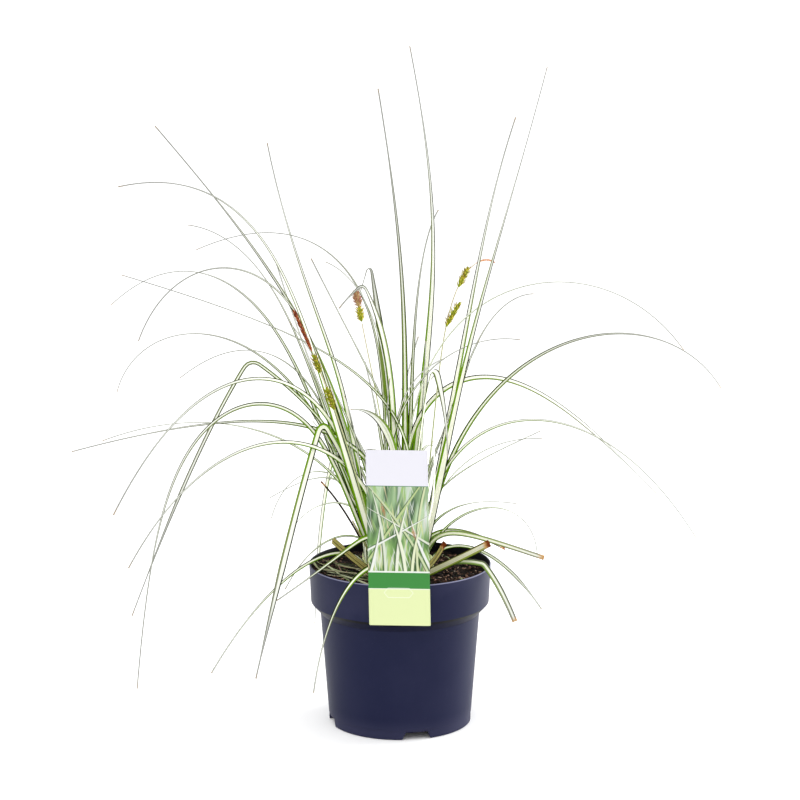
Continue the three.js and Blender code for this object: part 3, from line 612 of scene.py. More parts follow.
# %% The table of shoots
# Columns of a leaf, in millimetres and degrees: turn and sway seen from above, length, lean at
# the base, droop at the tip, crest and snap of the bend, width, roll at the base and at the tip,
# and for a folded leaf the share of its length where it folds and the angle of the fold, which
# may be 0 where a leaf only stays broad for longer. A flower stem has the first seven, and the
# share where its bare stem stops. Cut leaves end bluntly.
SHOOTS = {
    "a": dict(at=(-21, -3), leaves=[
        (-153, 10, 475, 15, 158, 0.85, 5.5, 6, 120, 15),
        (-155, -2, 140, 1, 151, 0.45, 2, 4, 30, 30),
        (-65, -10, 200, 7, 20, 1.6, 3, 5, 45, 20),
        (-50, 0, 150, 1, 20, 1.9, 2.5, 5, 45, 20),
    ]),
    "b": dict(at=(-21, 12), leaves=[
        (-172, -29, 480, 11, 44, 0.55, 3, 6.5, 65, 40),
        (141, 24, 395, 22, 87, 1.15, 6, 5, 40, 15),
        (150, -28, 320, 15, 32, 0.3, 6, 4, 50, 50),
        (144, 0, 490, 26, 129, 0.75, 5, 4.5, 50, 15),
        (158, 5, 420, 19, 167, 2, 2.5, 4.5, 50, 20),
        (142, 12, 355, 21, 128, 0.7, 5.5, 3.5, 40, 10),
        (174, 1, 340, 9, 112, 0.75, 1.5, 4, 40, 15),
        (170, 3, 150, 4, 154, 0.6, 3, 4, 45, 25),
        (135, -30, 470, 16, 44, 0.4, 7, 6, 60, 40),
    ], cut=[
        (140, 7, 105, 35, 53, 2, 2.5, 2, 40, 40),
    ]),
    "c": dict(at=(-17, -17), stem=(-116, -12, 310, 22, 33, 1.3, 1.5, 0.84), leaves=[
        (-136, -4, 530, 20, 98, 0.85, 6.5, 8.5, 105, 40),
        (-156, 2, 530, 22, 174, 0.45, 5.5, 5, 100, 30),
        (-149, 30, 490, 15, 134, 0.55, 3.5, 6, 120, 25),
        (-148, 29, 435, -4, 131, 0.55, 1.5, 5.5, 110, 10),
        (-145, 13, 410, 14, 37, 0.25, 3.5, 6.5, 110, 40, 0.42, 124),
        (-122, -13, 185, 7, 108, 0.25, 6, 6, 60, 60),
    ], cut=[
        (-155, 0, 67, 51, 46, 0.6, 3, 8, 60, 60),
        (-145, 21, 75, 28, 38, 0.8, 4, 5, 50, 50),
    ]),
    "d": dict(at=(-7, -8), leaves=[
        (180, 23, 455, -13, 71, 0.35, 3.5, 4.5, 90, 0),
        (-161, 24, 320, -1, 45, 1.5, 3.5, 7.5, 110, 70, 0.89, 87),
        (156, -2, 320, 1, 76, 1.55, 5, 5, 30, 20),
        (56, -27, 230, 0, 78, 0.9, 6, 5, 40, 40),
        (-14, 20, 300, -5, 101, 1.5, 2.5, 6, 90, 0),
    ]),
    "e": dict(at=(-8, 7), stem=(110, -12, 320, -1, 59, 0.4, 2.5, 0.85), leaves=[
        (138, 19, 470, 3, 114, 0.7, 6, 4, 35, 15),
        (80, -20, 220, 17, 75, 1.2, 3, 5, 45, 20),
        (110, -10, 230, 3, 65, 0.8, 2, 5.5, 45, 20),
        (110, 10, 210, 13, 145, 0.8, 2.5, 5, 45, 20),
        (110, 20, 180, 5, 135, 1.1, 2, 4.5, 45, 20),
        (115, -10, 190, 10, 80, 0.8, 1.5, 6, 45, 20),
        (130, 10, 180, 20, 80, 1.2, 3, 5, 45, 20),
        (145, 20, 260, 14, 40, 1.3, 2, 5, 45, 20),
    ]),
    "f": dict(at=(-9, 21), leaves=[
        (150, -11, 310, 21, 55, 0.4, 3, 6.5, 60, 75, 0.41, 121),
        (148, 8, 185, 26, 122, 0.55, 6, 4.5, 40, 25),
        (136, 19, 210, 28, 164, 0.7, 3.5, 3.5, 40, 25),
        (85, 0, 170, 7, 100, 0.4, 2, 5, 45, 20),
        (85, 10, 300, 8, 160, 1.1, 3, 4.5, 45, 20),
        (90, -20, 250, 23, 50, 0.9, 2, 4.5, 45, 20),
        (100, 10, 160, 19, 105, 0.5, 1.5, 6, 45, 20),
        (110, -20, 200, 14, 140, 0.7, 2, 6, 45, 20),
    ]),
    "g": dict(at=(4, -17), leaves=[
        (-129, 10, 200, 42, 164, 0.5, 1.5, 6, 60, 60),
        (-117, -16, 210, 6, 88, 0.95, 5, 8, 90, 120, 0.9, 0),
        (-50, 2, 290, 9, 43, 0.87, 6, 6, 40, 30, 0.72, 136),
        (-145, -20, 130, 18, 20, 1.2, 3, 6, 45, 20),
    ], cut=[
        (-55, -5, 155, 33, -8, 0.7, 4.5, 9, 60, 60),
        (-30, 15, 60, 59, 28, 0.55, 6, 6.5, 60, 60),
    ]),
    "h": dict(at=(5, -1), leaves=[
        (125, -5, 355, 0, 50, 0.35, 6, 3.5, 30, 20),
        (124, 4, 320, 8, 15, 1.85, 1.5, 7, 20, 20, 0.91, 140),
        (-25, -20, 120, 7, 25, 1, 3, 5.5, 45, 20),
        (-20, 10, 160, 7, 25, 0.8, 2, 6, 45, 20),
        (-10, -10, 240, 13, 25, 0.9, 3, 5, 45, 20),
        (0, 20, 190, 8, 25, 0.9, 1.5, 4.5, 45, 20),
    ]),
    "i": dict(at=(5, 14), leaves=[
        (100, 12, 465, 0, 25, 0.6, 6, 7.5, 25, 20),
        (60, -28, 500, 10, -13, 0.65, 6, 9, 25, 20),
        (60, 13, 365, 4, 74, 1.1, 6, 6, 40, 40),
        (-19, 30, 495, 0, 145, 0.8, 3, 4.5, 30, 15),
        (30, -1, 480, -1, 134, 0.4, 4.5, 5, 65, 55, 0.5, 0),
        (50, 20, 180, 4, 60, 0.4, 2.5, 6, 45, 20),
    ]),
    "j": dict(at=(17, -9), leaves=[
        (5, 18, 305, 12, 97, 2, 6, 6.5, 50, 20),
        (-25, -28, 505, 13, 21, 0.5, 5, 8, 110, 55),
        (-14, 30, 445, 11, 149, 2.1, 2, 6, 65, 45),
        (-16, -18, 410, 7, 143, 0.55, 2.5, 4, 95, 10),
    ], cut=[
        (-30, 28, 80, 60, 61, 0.15, 1.5, 8, 60, 60),
        (-14, -21, 130, 55, 113, 0.42, 2.32, 5.5, 60, 60, 0.53, 40),
    ]),
    "k": dict(at=(18, 6), stem=(49, -5, 335, 8, 131, 1.9, 7.5, 0.92), leaves=[
        (10, 28, 440, 11, 24, 1.1, 6, 7.5, 70, 70),
        (13, 25, 210, -4, 77, 0.35, 3, 3, 40, 20),
        (-12, -20, 210, 2, 88, 1.6, 1.5, 3, 40, 20),
        (9, 27, 185, 19, 181, 2.2, 1.5, 3.5, 45, 25),
    ], cut=[
        (-5, 1, 145, 18, 108, 0.3, 5, 6, 50, 40),
        (15, 6, 120, 0, 121, 0.35, 3, 5, 50, 40),
    ]),
    "l": dict(at=(16, 21), leaves=[
        (53, -30, 150, 13, 103, 0.4, 2, 3.5, 35, 15),
        (-65, -20, 230, 3, 15, 1.3, 1.5, 6, 45, 20),
        (80, 10, 210, 23, 95, 0.3, 1.5, 4.5, 45, 20),
        (85, 0, 220, 12, 60, 0.5, 3, 4.5, 45, 20),
        (85, 10, 310, 22, 135, 0.6, 2, 4.5, 45, 20),
        (85, 20, 200, 23, 155, 1.1, 1.5, 5.5, 45, 20),
        (90, 0, 230, 21, 160, 0.6, 3, 5, 45, 20),
        (120, 10, 190, 13, 155, 1, 3, 5.5, 45, 20),
    ]),
    "m": dict(at=(28, -2), leaves=[
        (10, -20, 150, -13, 146, 0.25, 1.5, 3.2, 60, 90, 0.9, 0),
    ]),
    "n": dict(at=(-32, 5), leaves=[
        (-166, -6, 510, 3, 66, 0.3, 2.5, 4, 60, 50, 0.48, 93),
        (175, 30, 405, -18, 100, 0.3, 3, 6, 60, 35),
        (-165, -20, 160, 5, 40, 0.9, 2.5, 4.5, 45, 20),
        (-130, 10, 170, 7, 30, 1, 3, 5, 45, 20),
        (-105, -10, 190, 7, 35, 1.1, 3, 4.5, 45, 20),
    ]),
    "o": dict(at=(-31, -12), leaves=[
        (-159, 30, 220, -5, 134, 0.15, 1.5, 4, 60, 60),
        (-115, -20, 150, 6, 20, 1.2, 2.5, 4.5, 45, 20),
    ]),
    "p": dict(at=(4, 28), leaves=[
        (-130, 10, 140, 3, 5, 1.8, 1.5, 5.5, 45, 20),
        (70, 0, 190, 9, 160, 1, 3, 6, 45, 20),
        (75, 10, 220, 9, 60, 1, 1.5, 5.5, 45, 20),
        (85, 10, 250, 15, 100, 0.8, 2.5, 4.5, 45, 20),
        (85, 20, 180, 20, 100, 0.7, 3, 4.5, 45, 20),
        (90, 10, 220, 20, 105, 0.3, 1.5, 4.5, 45, 20),
        (105, 20, 170, 25, 105, 0.5, 2, 5.5, 45, 20),
    ]),
}
print("leaves:", sum(len(s["leaves"]) + len(s.get("cut", ())) for s in SHOOTS.values()))

# %% Walk along a curve
CROWN = 138.0
FOLD_SPAN = 0.04
COLUMNS = (
    "turn", "sway", "length", "lean", "droop", "crest", "snap", "width", "roll", "tip_roll",
    "fold_at", "fold_by",
)


def columns(rows):
    """The table's columns by name, each of shape (rows, 1), with 0 for what a row leaves out."""
    filled = [(*row, *[0] * (len(COLUMNS) - len(row))) for row in rows]
    return Sizes(**dict(zip(COLUMNS, np.array(filled, float).T[..., None])))


def follow(at, rows, steps=144):
    """Curves for several rows at once: arrays (rows, steps, ...) of the share s, the place, the
    direction along, the sideways direction side and the direction face that the upper skin looks.
    tilt = lean + (droop - lean) * bend(s), with bend(s) = s^snap (1 + crest^snap) / (s^snap +
    crest^snap), and fold_by more past a fold. heading = turn + sway * s. Places are the running sum
    of the directions."""
    row = columns(rows)
    s = (np.arange(steps) + 0.5) / steps + 0 * row.turn
    bend = s ** row.snap * (1 + row.crest ** row.snap) / (s ** row.snap + row.crest ** row.snap)
    folded = rise(s, row.fold_at - FOLD_SPAN / 2, row.fold_at + FOLD_SPAN / 2)
    tilt = np.radians(row.lean + (row.droop - row.lean) * bend + row.fold_by * folded)
    heading = np.radians(row.turn + row.sway * s)
    out_x, out_y = np.sin(tilt) * np.cos(heading), np.sin(tilt) * np.sin(heading)
    along = np.stack([out_x, out_y, np.cos(tilt)], -1)
    level = np.stack([-np.sin(heading), np.cos(heading), 0 * s], -1)
    handed = np.where(np.cos(np.radians(row.turn)) < 0, -1, 1)
    rolled = np.radians(handed * (row.roll + (row.tip_roll - row.roll) * s))[..., None]
    side = level * np.cos(rolled) + np.cross(along, level) * np.sin(rolled)
    step = along * (row.length / steps)[..., None]
    place = np.array([*at, CROWN]) + np.cumsum(step, axis=1) - step
    return Sizes(s=s, place=place, along=along, side=side, face=np.cross(along, side))


test = follow((0, 0), [(0, 0, 300, 0, 90, 0.8, 4, 6, 30, 20)])
print("a 300 mm leaf ends at", test.place[0, -1].round(1))

# %% [markdown]
# ### A leaf's skin
# A sedge leaf is a shallow V with a crease down the middle, about half a millimetre thick, and
# sharp at both edges. Carried along the curve, its section swells over the sheath and then tapers
# evenly to a hair, or from past the fold if the leaf is folded. Each half of the V bulges a
# little, so that it catches the light as the real one does.

# %% Leaves and their sheaths
# Eight points round the section, counter-clockwise seen from the tip: across (1 is the edge), how
# much of the V's rise, of the bulge and of the thickness each point takes.
SECTION = np.array([
    (0.0, 0.0, 0.0, 0.5), (-0.5, 0.5, 1.0, 0.4), (-1.0, 1.0, 0.0, 0.0), (-0.5, 0.5, 1.0, -0.4),
    (0.0, 0.0, 0.0, -0.5), (0.5, 0.5, 1.0, -0.4), (1.0, 1.0, 0.0, 0.0), (0.5, 0.5, 1.0, 0.4),
])
LEAF = Sizes(
    channel=0.16, bulge=0.05, thick=0.6, tip_width=1.3, base=0.7, swell=0.12, taper=0.2,
    fold_taper=0.75, blunt_taper=0.12, slim=6.0, slim_range=3.0, front_shade=0.2,
)
NO_WEAR = [(0, 0, 0)]


def leaf_skins(name, at, rows, rng, wear=None):
    """Each leaf is its section scaled by the width at that share of the length: width times a short
    swelling at the base times 1 - t, where t runs from 0 at the taper's start to 1 at the tip. Rows
    with wear are cut leaves, which end bluntly."""
    row, curve = columns(rows), follow(at, rows)
    s = curve.s
    taper = np.where(row.fold_at > 0, LEAF.fold_taper, LEAF.taper)
    t = np.clip((s - taper) / (1 - taper), 0, 1) * (LEAF.blunt_taper if wear else 1)
    swell = LEAF.base + (1 - LEAF.base) * np.minimum(1, s / LEAF.swell)
    wide = np.maximum(LEAF.tip_width, row.width * swell * (1 - t))[..., None]
    across, vee, bulge, deep = SECTION.T
    sideways = across * wide / 2
    upward = vee * LEAF.channel * wide + bulge * LEAF.bulge * wide + deep * LEAF.thick
    points = (
        curve.place[:, :, None]
        + curve.side[:, :, None] * sideways[..., None]
        + curve.face[:, :, None] * upward[..., None]
    )
    to_front = np.clip(-np.sin(np.radians(row.turn)), 0, 1)
    worn = np.array(wear or NO_WEAR, float).T[..., None, None]
    numbers = dict(zip(("brown", "bleached", "burnt"), worn))
    numbers["tone"] = (rng.random((len(rows), 1)) * (1 - LEAF.front_shade * to_front))[..., None]
    # side picks the half of each leaf that gets the painted shade of its fold.
    numbers["side"] = rng.random((len(rows), 1, 1))
    numbers["reach"] = (s * row.length * MM)[..., None]
    numbers["slim"] = np.clip((LEAF.slim - wide) / LEAF.slim_range, -1, 1)
    return make_tubes(name, points * MM, uv=pairs(across, s[..., None]), **numbers)


SHEATH = Sizes(low=CROWN - 11, high=CROWN + 19, radius=4.3, narrows=1.5, ribs=8, rib=0.05, torn=2.5)


def sheath(name, at, rng):
    """A ribbed tube round the shoot's foot, wider at the bottom, whose top edge is torn: height
    follows a wave round the tube."""
    angles = around(24)
    z = np.linspace(SHEATH.low, SHEATH.high, 12)[:, None]
    share = (z - z[0]) / (z[-1] - z[0])
    ribbed = 1 + SHEATH.rib * np.cos(angles * SHEATH.ribs)
    radius = (SHEATH.radius - SHEATH.narrows * share ** 1.5) * ribbed
    torn = SHEATH.torn * np.sin(angles * 2 + rng.uniform(0, 6)) * share ** 4
    x, y = at[0] + radius * np.cos(angles), at[1] + radius * np.sin(angles)
    points = np.stack([x, y, z + torn], -1)[None]
    return make_tubes(name, points * MM, uv=pairs(angles / np.pi - 1, share))


# %% [markdown]
# ### Their stripes
# This sedge is grown for its stripes: a cream band down the middle of each leaf and a dark green
# margin on both sides. Near the foot the green is vivid. Farther out it turns olive, then grey,
# and the cream fades to grey with it. The stripes are a function of how far across the leaf a
# point is, so they follow every bend. Faint veins run the whole length. A slim leaf has wider
# margins and greys sooner. Cut leaves carry three more numbers: how brown they are, how bleached,
# and how much of the end is scorched.

# %% Leaf finish
blade = Finish("striped_leaf", Specular_IOR_Level=0.05)
across, share = blade.map_xy()
tone, side, reach, slim = blade.attributes("tone", "side", "reach", "slim")
brown, bleached, burnt = blade.attributes("brown", "bleached", "burnt")
outward = abs(across)
veins = blade.noise(blade.vector(across * 7, reach * 5, tone * 40), 1.0, 1.0)
patches = blade.noise(blade.vector(across * 1.5, reach * 30, tone * 17), 1.0, 2.0)
# Painted shade: on one half of each leaf the dark rim is widened and the green narrowed, on the
# other the green is widened, as the shade of the fold.
lopsided_shade = across * blade.rise(side, 0.1, 0.9) * 0.5 - across * 0.25
wander = (patches - 0.5) * 0.12 + (tone - 0.5) * 0.3 + slim * 0.12
margin = blade.rise(outward + wander - lopsided_shade, 0.39, 0.49) * (1 - bleached)
# The dark rim is partly the leaf's own darker edge and partly painted shade of the fold.
rim = blade.rise(outward + lopsided_shade + slim * 0.08 + (patches - 0.5) * 0.14, 0.69, 0.8)
veined = blade.rise(veins, 0.55, 0.7) * 0.4
age = share * share * 0.5 + reach * 0.85 + (tone - 0.5) * 0.14 + slim * 0.12
green = blade.ramp(
    age,
    (0.0, "649200"), (0.26, "658a06"), (0.42, "738440"), (0.6, "7b7f68"),
    (0.8, "7a7d6e"), (1.0, "8e8f89"),
)
dark = blade.ramp(
    age,
    (0.0, "1c2c02"), (0.28, "171f00"), (0.45, "222806"), (0.62, "3f4332"),
    (0.8, "63655c"), (1.0, "80817c"),
)
# Painted light: the cream is painted lightest near the foot, against the shade among the crowded
# leaves there.
cream = blade.ramp(
    age,
    (0.0, "eff0dc"), (0.2, "ecedda"), (0.45, "e6e8de"), (0.7, "dcded6"),
    (0.85, "a9aaa6"), (1.0, "868784"),
)
edged = blade.mix(rim, green, dark)
striped = blade.mix(margin, blade.mix(veined, cream, green), edged)
tan = blade.ramp(veins, (0.35, "857c40"), (0.48, "a29956"), (0.6, "d0c47c"))
crease = 1 - blade.rise(abs(across + (patches - 0.5) * 0.2), 0.06, 0.14)
dead = blade.mix(blade.rise(outward, 0.82, 0.95), blade.mix(crease * 0.8, tan, "2a220e"), "26240a")
aged = blade.mix(blade.rise(brown, 0.0, 0.8), striped, dead)
aged = blade.mix(blade.rise(brown, 0.8, 1.0), aged, "241a10")
end = blade.rise(share + burnt + (veins - 0.5) * 0.08, 0.98, 1.02)
charred = blade.rise(share + burnt + (veins - 0.5) * 0.06, 1.01, 1.05)
scorched = blade.mix(charred, "b98f58", "6a3010")
blade.set(Base_Color=blade.mix(end, aged, scorched), Roughness=0.45 + veins * 0.2)
blade.bump(veins, 0.3, 0.0003)

foot = Finish("leaf_sheath", Specular_IOR_Level=0.3)
turn, share = foot.map_xy()
ribs = foot.noise(foot.vector(turn * 22, share * 1.2, 0.0), 1.0, 1.0)
foot.set(
    Base_Color=foot.mix(
        foot.rise(ribs, 0.4, 0.7) * 0.5,
        foot.ramp(share, (0.2, "8a6a3a"), (0.45, "c9bf86"), (0.9, "dbe2a8")),
        "7f9a3c",
    ),
    Roughness=0.5 + ribs * 0.2,
)
foot.bump(ribs, 0.4, 0.0004)

# %% Grow every shoot
# For each cut leaf of a shoot: how brown, how bleached, and the share of its end that is scorched.
WEAR = {
    "b": [(1.0, 0.0, 0.06)],
    "c": [(0.8, 0.0, 0.0), (0.5, 0.0, 0.0)],
    "g": [(0.0, 0.6, 0.0), (0.7, 0.0, 0.12)],
    "j": [(0.34, 0.0, 0.08), (0.0, 0.1, 0.02)],
    "k": [(0.15, 0.1, 0.03), (0.1, 0.0, 0.05)],
}
for letter, shoot in SHOOTS.items():
    rng = np.random.default_rng(100 + ord(letter))
    skins = [leaf_skins("leaves", shoot["at"], shoot["leaves"], rng)]
    if "cut" in shoot:
        skins.append(leaf_skins("cut", shoot["at"], shoot["cut"], rng, WEAR[letter]))
    dress(join("leaves_" + letter, skins), blade.material, "leaf", "tiller_" + letter)
    dress(sheath("sheath_" + letter, shoot["at"], rng), foot.material, "leaf")

# %% [markdown]
# ## Flower stems
# Three thin stems carry the flowers. They are triangular in this family, but less than 2 mm
# thick, so a round rod that thins towards its end is enough. It follows the same kind of curve as
# a leaf.

# %% Stems
def rod_points(curve, radius, sides=8):
    """Circles of the given radii across a curve: side times cosine plus face times sine."""
    angles = around(sides)
    ring = (
        curve.side[:, :, None] * np.cos(angles)[:, None]
        + curve.face[:, :, None] * np.sin(angles)[:, None]
    )
    return curve.place[:, :, None] + ring * radius[..., None, None]


stem = Finish("flower_stem", Specular_IOR_Level=0.3)
turn, share = stem.map_xy()
lines = stem.noise(stem.vector(turn * 3, share * 2, 0.0), 1.0, 1.0)
greening = stem.ramp(share, (0.0, "8a9c50"), (0.5, "a9ae84"), (0.9, "b5a08c"))
stem.set(Base_Color=stem.mix(lines * 0.5, greening, "8f9a5a"), Roughness=0.5 + lines * 0.1)
STEM_RADIUS, STEM_THINS = 0.85, 0.4


def stem_curve(letter):
    """The whole curve of a shoot's flower stem, up to the tip of its end spike."""
    return follow(SHOOTS[letter]["at"], [SHOOTS[letter]["stem"][:7]])


for letter in (key for key, shoot in SHOOTS.items() if "stem" in shoot):
    curve = stem_curve(letter)
    kept = curve.s[0] <= SHOOTS[letter]["stem"][7]
    curve = Sizes(**{key: value[:, kept] for key, value in vars(curve).items()})
    rod = rod_points(curve, STEM_RADIUS - STEM_THINS * curve.s)
    piece = make_tubes("stem_" + letter, rod * MM, uv=pairs(around(8), curve.s[..., None]))
    dress(piece, stem.material, "leaf")

# %% [markdown]
# ## Flower spikes
# A spike is a slim core closely set with pointed scales in a spiral, each a golden angle on from
# the last, as most plants do it. The lower spikes are female: plump yellow-green fruits, each
# with a brown-tipped scale. The end spikes are male: narrow and rust-red. One formula draws all
# the scales of a spike at once, as little tubes that start on the core, swell, and end in a
# point.

# %% Shape of a spike
# The shoot whose stem carries the spike, the shares of the stem where it starts and ends, how far
# its tip is shifted to the right, its radius, whether it grows beside the stem, and its scales.
Spike = namedtuple("Spike", "shoot start end shift radius beside scales")
SPIKES = {
    "left_lower": Spike("c", 0.635, 0.72, 0, 3.4, True, "fruit"),
    "left_upper": Spike("c", 0.77, 0.84, 0, 3, True, "fruit"),
    "left_end": Spike("c", 0.845, 1, 0, 1.9, False, "pollen"),
    "middle_lower": Spike("e", 0.855, 0.925, 0, 3.6, False, "fruit"),
    "middle_end": Spike("e", 0.925, 1, 0, 4.8, False, "faded"),
    "right_lower": Spike("k", 0.705, 0.78, 8, 3.4, True, "fruit"),
    "right_upper": Spike("k", 0.823, 0.893, 0, 3.2, True, "fruit"),
    "right_end": Spike("k", 0.915, 1, 0, 1.2, False, "pale"),
}
CORE_SHARE, STEM_ROOM, GAP, GOLDEN = 0.62, 1.2, 0.3, 137.5


def pick(curve, shares):
    """Places and directions of a curve at the given shares, by straight-line interpolation."""
    return [
        np.stack([np.interp(shares, curve.s[0], values[0, :, k]) for k in range(3)], -1)
        for values in (curve.place, curve.along, curve.side, curve.face)
    ]


def spike_curve(spike, steps=40):
    """The stretch of the stem's curve that a spike takes up. A spike beside the stem grows straight
    on from the stem's heading at its start, in front of the stem, with its tip shifted."""
    shares = np.linspace(spike.start, spike.end - 0.005, steps)
    place, along, side, _ = pick(stem_curve(spike.shoot), shares)
    along /= np.linalg.norm(along, axis=1, keepdims=True)
    side -= along * (side * along).sum(1, keepdims=True)
    side /= np.linalg.norm(side, axis=1, keepdims=True)
    t = np.linspace(0, 1, steps)[:, None]
    if spike.beside:
        along, side = along[:1] + 0 * along, side[:1] + 0 * side
        forward = spike.radius * CORE_SHARE + STEM_ROOM + GAP
        reach = (shares - shares[0])[:, None] * SHOOTS[spike.shoot]["stem"][2]
        shifted = t * np.array([spike.shift, 0, 0]) - np.array([0, forward, 0])
        place = place[:1] + along * reach + shifted
    else:
        place = place + along * GAP
    face = np.cross(along, side)
    return Sizes(s=t.T, place=place[None], along=along[None], side=side[None], face=face[None])


def swelling(t):
    """How plump a spike is at share t of its length: a sine that starts and ends above zero."""
    return np.sin(np.pi * (0.12 + 0.8 * t)) ** 0.7


def scale_skins(name, spike, count, length, width, spread, rng):
    """Scales in a golden-angle spiral. Each is four-sided, starts inside the core, leans out by the
    spread angle, turns up towards its point, and its half width is width * sin(pi * r^0.6)."""
    curve = spike_curve(spike)
    whole = np.linalg.norm(curve.place[0, -1] - curve.place[0, 0])
    t = np.linspace(0.02, 1 - 0.8 * length / whole, count)
    t = np.clip(t + rng.normal(0, 0.01, count), 0, 1)
    place, along, side, face = pick(curve, t)
    turn = np.radians(GOLDEN * np.arange(count) + rng.normal(0, 9, count))[:, None]
    out = side * np.cos(turn) + face * np.sin(turn)
    cross = np.cross(along, out)
    r = np.linspace(0, 1, 6)[None, :, None]
    lean = np.radians(spread * rng.uniform(0.75, 1.3, (count, 1, 1)))
    size = length * rng.uniform(0.85, 1.2, (count, 1, 1))
    core = spike.radius * CORE_SHARE * swelling(t)[:, None, None]
    up = size * np.cos(lean) * r
    outward = core * 0.7 + size * np.sin(lean) * (r - 0.35 * r ** 2) * 1.2
    middle = place[:, None] + along[:, None] * up + out[:, None] * outward
    half = width / 2 * np.sin(np.pi * np.clip(0.12 + 0.88 * r, 0, 1) ** 0.6) + 0.06
    thick = half * 0.45 + 0.04
    ring = np.array([(1, 0), (0, 1), (-1, 0), (0, -1)], float)
    points = (
        middle[:, :, None]
        + cross[:, None, None] * (ring[:, 0, None] * half[..., None])
        + (out[:, None, None] * ring[:, 1, None]) * thick[..., None]
    )
    return make_tubes(name, points[:, :, ::-1] * MM, tip=r, tone=rng.random((count, 1, 1)))


def core_skin(name, spike):
    """The spike's core: circles whose radius follows the swelling."""
    curve = spike_curve(spike, 16)
    radius = spike.radius * CORE_SHARE * swelling(curve.s) * 0.95
    return make_tubes(name, rod_points(curve, radius, 10) * MM, tip=0.1, tone=0.5)


# %% Spike finishes
# Each kind of scale: how many, their length and width, the angle they spread by, their colours at
# base, middle and end, how much these vary, and the slot they belong to.
SCALES = {
    "fruit": (52, 5.6, 1.25, 36, ("808a12", "bdb22c", "653a12"), 0.5, "female_spike"),
    "pollen": (80, 5.0, 1.2, 16, ("9a5020", "8c3c12", "5c220a"), 0.7, "male_spike"),
    "faded": (110, 5.6, 0.75, 46, ("a5895a", "96604a", "8a4c40"), 0.9, "male_spike"),
    "pale": (26, 3.6, 0.6, 10, ("c08a62", "b97a52", "a86a48"), 0.5, "male_spike"),
}


def scaly(name, colours, varied):
    """Scales that change colour from base to end, each a little different."""
    finish = Finish(name, Specular_IOR_Level=0.25)
    tip, tone = finish.attributes("tip", "tone")
    speckle = finish.noise(finish.place(), 1600.0, 2.0)
    along = tip + (speckle - 0.5) * 0.3 + (tone - 0.5) * varied
    colour = finish.ramp(along, *zip((0.15, 0.5, 0.8), colours))
    finish.set(Base_Color=colour, Roughness=0.6 + speckle * 0.3)
    finish.bump(speckle, 0.4, 0.0002)
    return finish.material


scale_finish = {kind: scaly(kind + "_scales", *row[4:6]) for kind, row in SCALES.items()}

# %% Make the spikes
for number, (name, spike) in enumerate(SPIKES.items()):
    rng = np.random.default_rng(300 + number)
    *shape, _, _, slot = SCALES[spike.scales]
    skins = [scale_skins("scales", spike, *shape, rng), core_skin("core", spike)]
    dress(join("scales_" + name, skins), scale_finish[spike.scales], slot, "spike_" + name)

# %% [markdown]
# ## Dry strands
# Old leaves lie on the compost at the left, green ones among tan ones. They are flat ribbons that
# bend a little as they lie, with their height taken from the soil under them.

# %% Litter
HEAPED, STREWN, STRAND_STEPS = 22, 12, 25


def strand_rows():
    """One row per strand: x and y of its start, heading in degrees, length. Most start along the
    left rim and run to the front, a few lie anywhere, and the last is a brown stick."""
    rng = np.random.default_rng(21)
    starts = [rng.uniform(-88, -62, HEAPED), rng.uniform(-16, 30, HEAPED)]
    heap = [*starts, rng.normal(-30, 17, HEAPED), rng.uniform(30, 84, HEAPED)]
    _, x, y = scatter(STREWN, 22, 70.0)
    strewn = [x, y, rng.uniform(0, 360, STREWN), rng.uniform(14, 34, STREWN)]
    stick = [[-62], [34], [-80], [72]]
    return np.concatenate([heap, strewn, stick], axis=1).T


def strand_skins(name, rows, rng):
    """Ribbons four points round: a heading that drifts along the length, the soil's height, and a
    lift on to the rim where a strand starts on it."""
    x, y, heading, length = rows.T[..., None]
    s = np.linspace(0, 1, STRAND_STEPS + 1)[None, :]
    angle = np.radians(heading) + rng.uniform(-0.6, 0.6, (len(rows), 1)) * s
    px = x + np.cumsum(np.cos(angle) * length / STRAND_STEPS, axis=1)
    py = y + np.cumsum(np.sin(angle) * length / STRAND_STEPS, axis=1)
    pulled_in = np.minimum(1, (88 - 9 * rise(s, 0.05, 0.35)) / np.hypot(px, py))
    px, py = px * pulled_in, py * pulled_in
    lie = rng.uniform(0.3, 2.6, (len(rows), 1)) * np.sin(np.pi * s) ** 0.5
    on_rim = rise(np.hypot(px, py), 76, 82)
    pz = (soil_height(px, py) + 1.5) * (1 - on_rim) + (POT.height + 0.5) * on_rim + lie
    width = rng.uniform(1.0, 2.9, (len(rows), 1)) * np.sin(np.pi * (0.08 + 0.84 * s)) ** 0.4 / 2
    nx, ny = -np.sin(angle), np.cos(angle)
    ring = np.array([(1, 0.0), (0, 0.25), (-1, 0.0), (0, -0.25)])
    points = np.stack([
        px[..., None] + nx[..., None] * ring[:, 0] * width[..., None],
        py[..., None] + ny[..., None] * ring[:, 0] * width[..., None],
        pz[..., None] + ring[:, 1] + 0 * width[..., None],
    ], -1)
    tone = np.append(rng.random(len(rows) - 1) * 0.85, 1.0)[:, None, None]
    return make_tubes(name, points * MM, tone=tone)


straw = Finish("dry_strand", Specular_IOR_Level=0.2)
[tone], fibres = straw.attributes("tone"), straw.noise(straw.place(), 800.0, 2.0)
straw.set(
    Base_Color=straw.ramp(
        tone * 0.85 + fibres * 0.2,
        (0.1, "161c08"), (0.35, "4c5a2a"), (0.5, "8a9468"), (0.66, "c9cdaa"),
        (0.8, "8a7a5c"), (0.95, "6f5549"),
    ),
    Roughness=0.6 + fibres * 0.3,
)
straw.bump(fibres, 0.4, 0.0003)
litter = strand_skins("dry_strands", strand_rows(), np.random.default_rng(23))
dress(litter, straw.material, "litter", "litter")

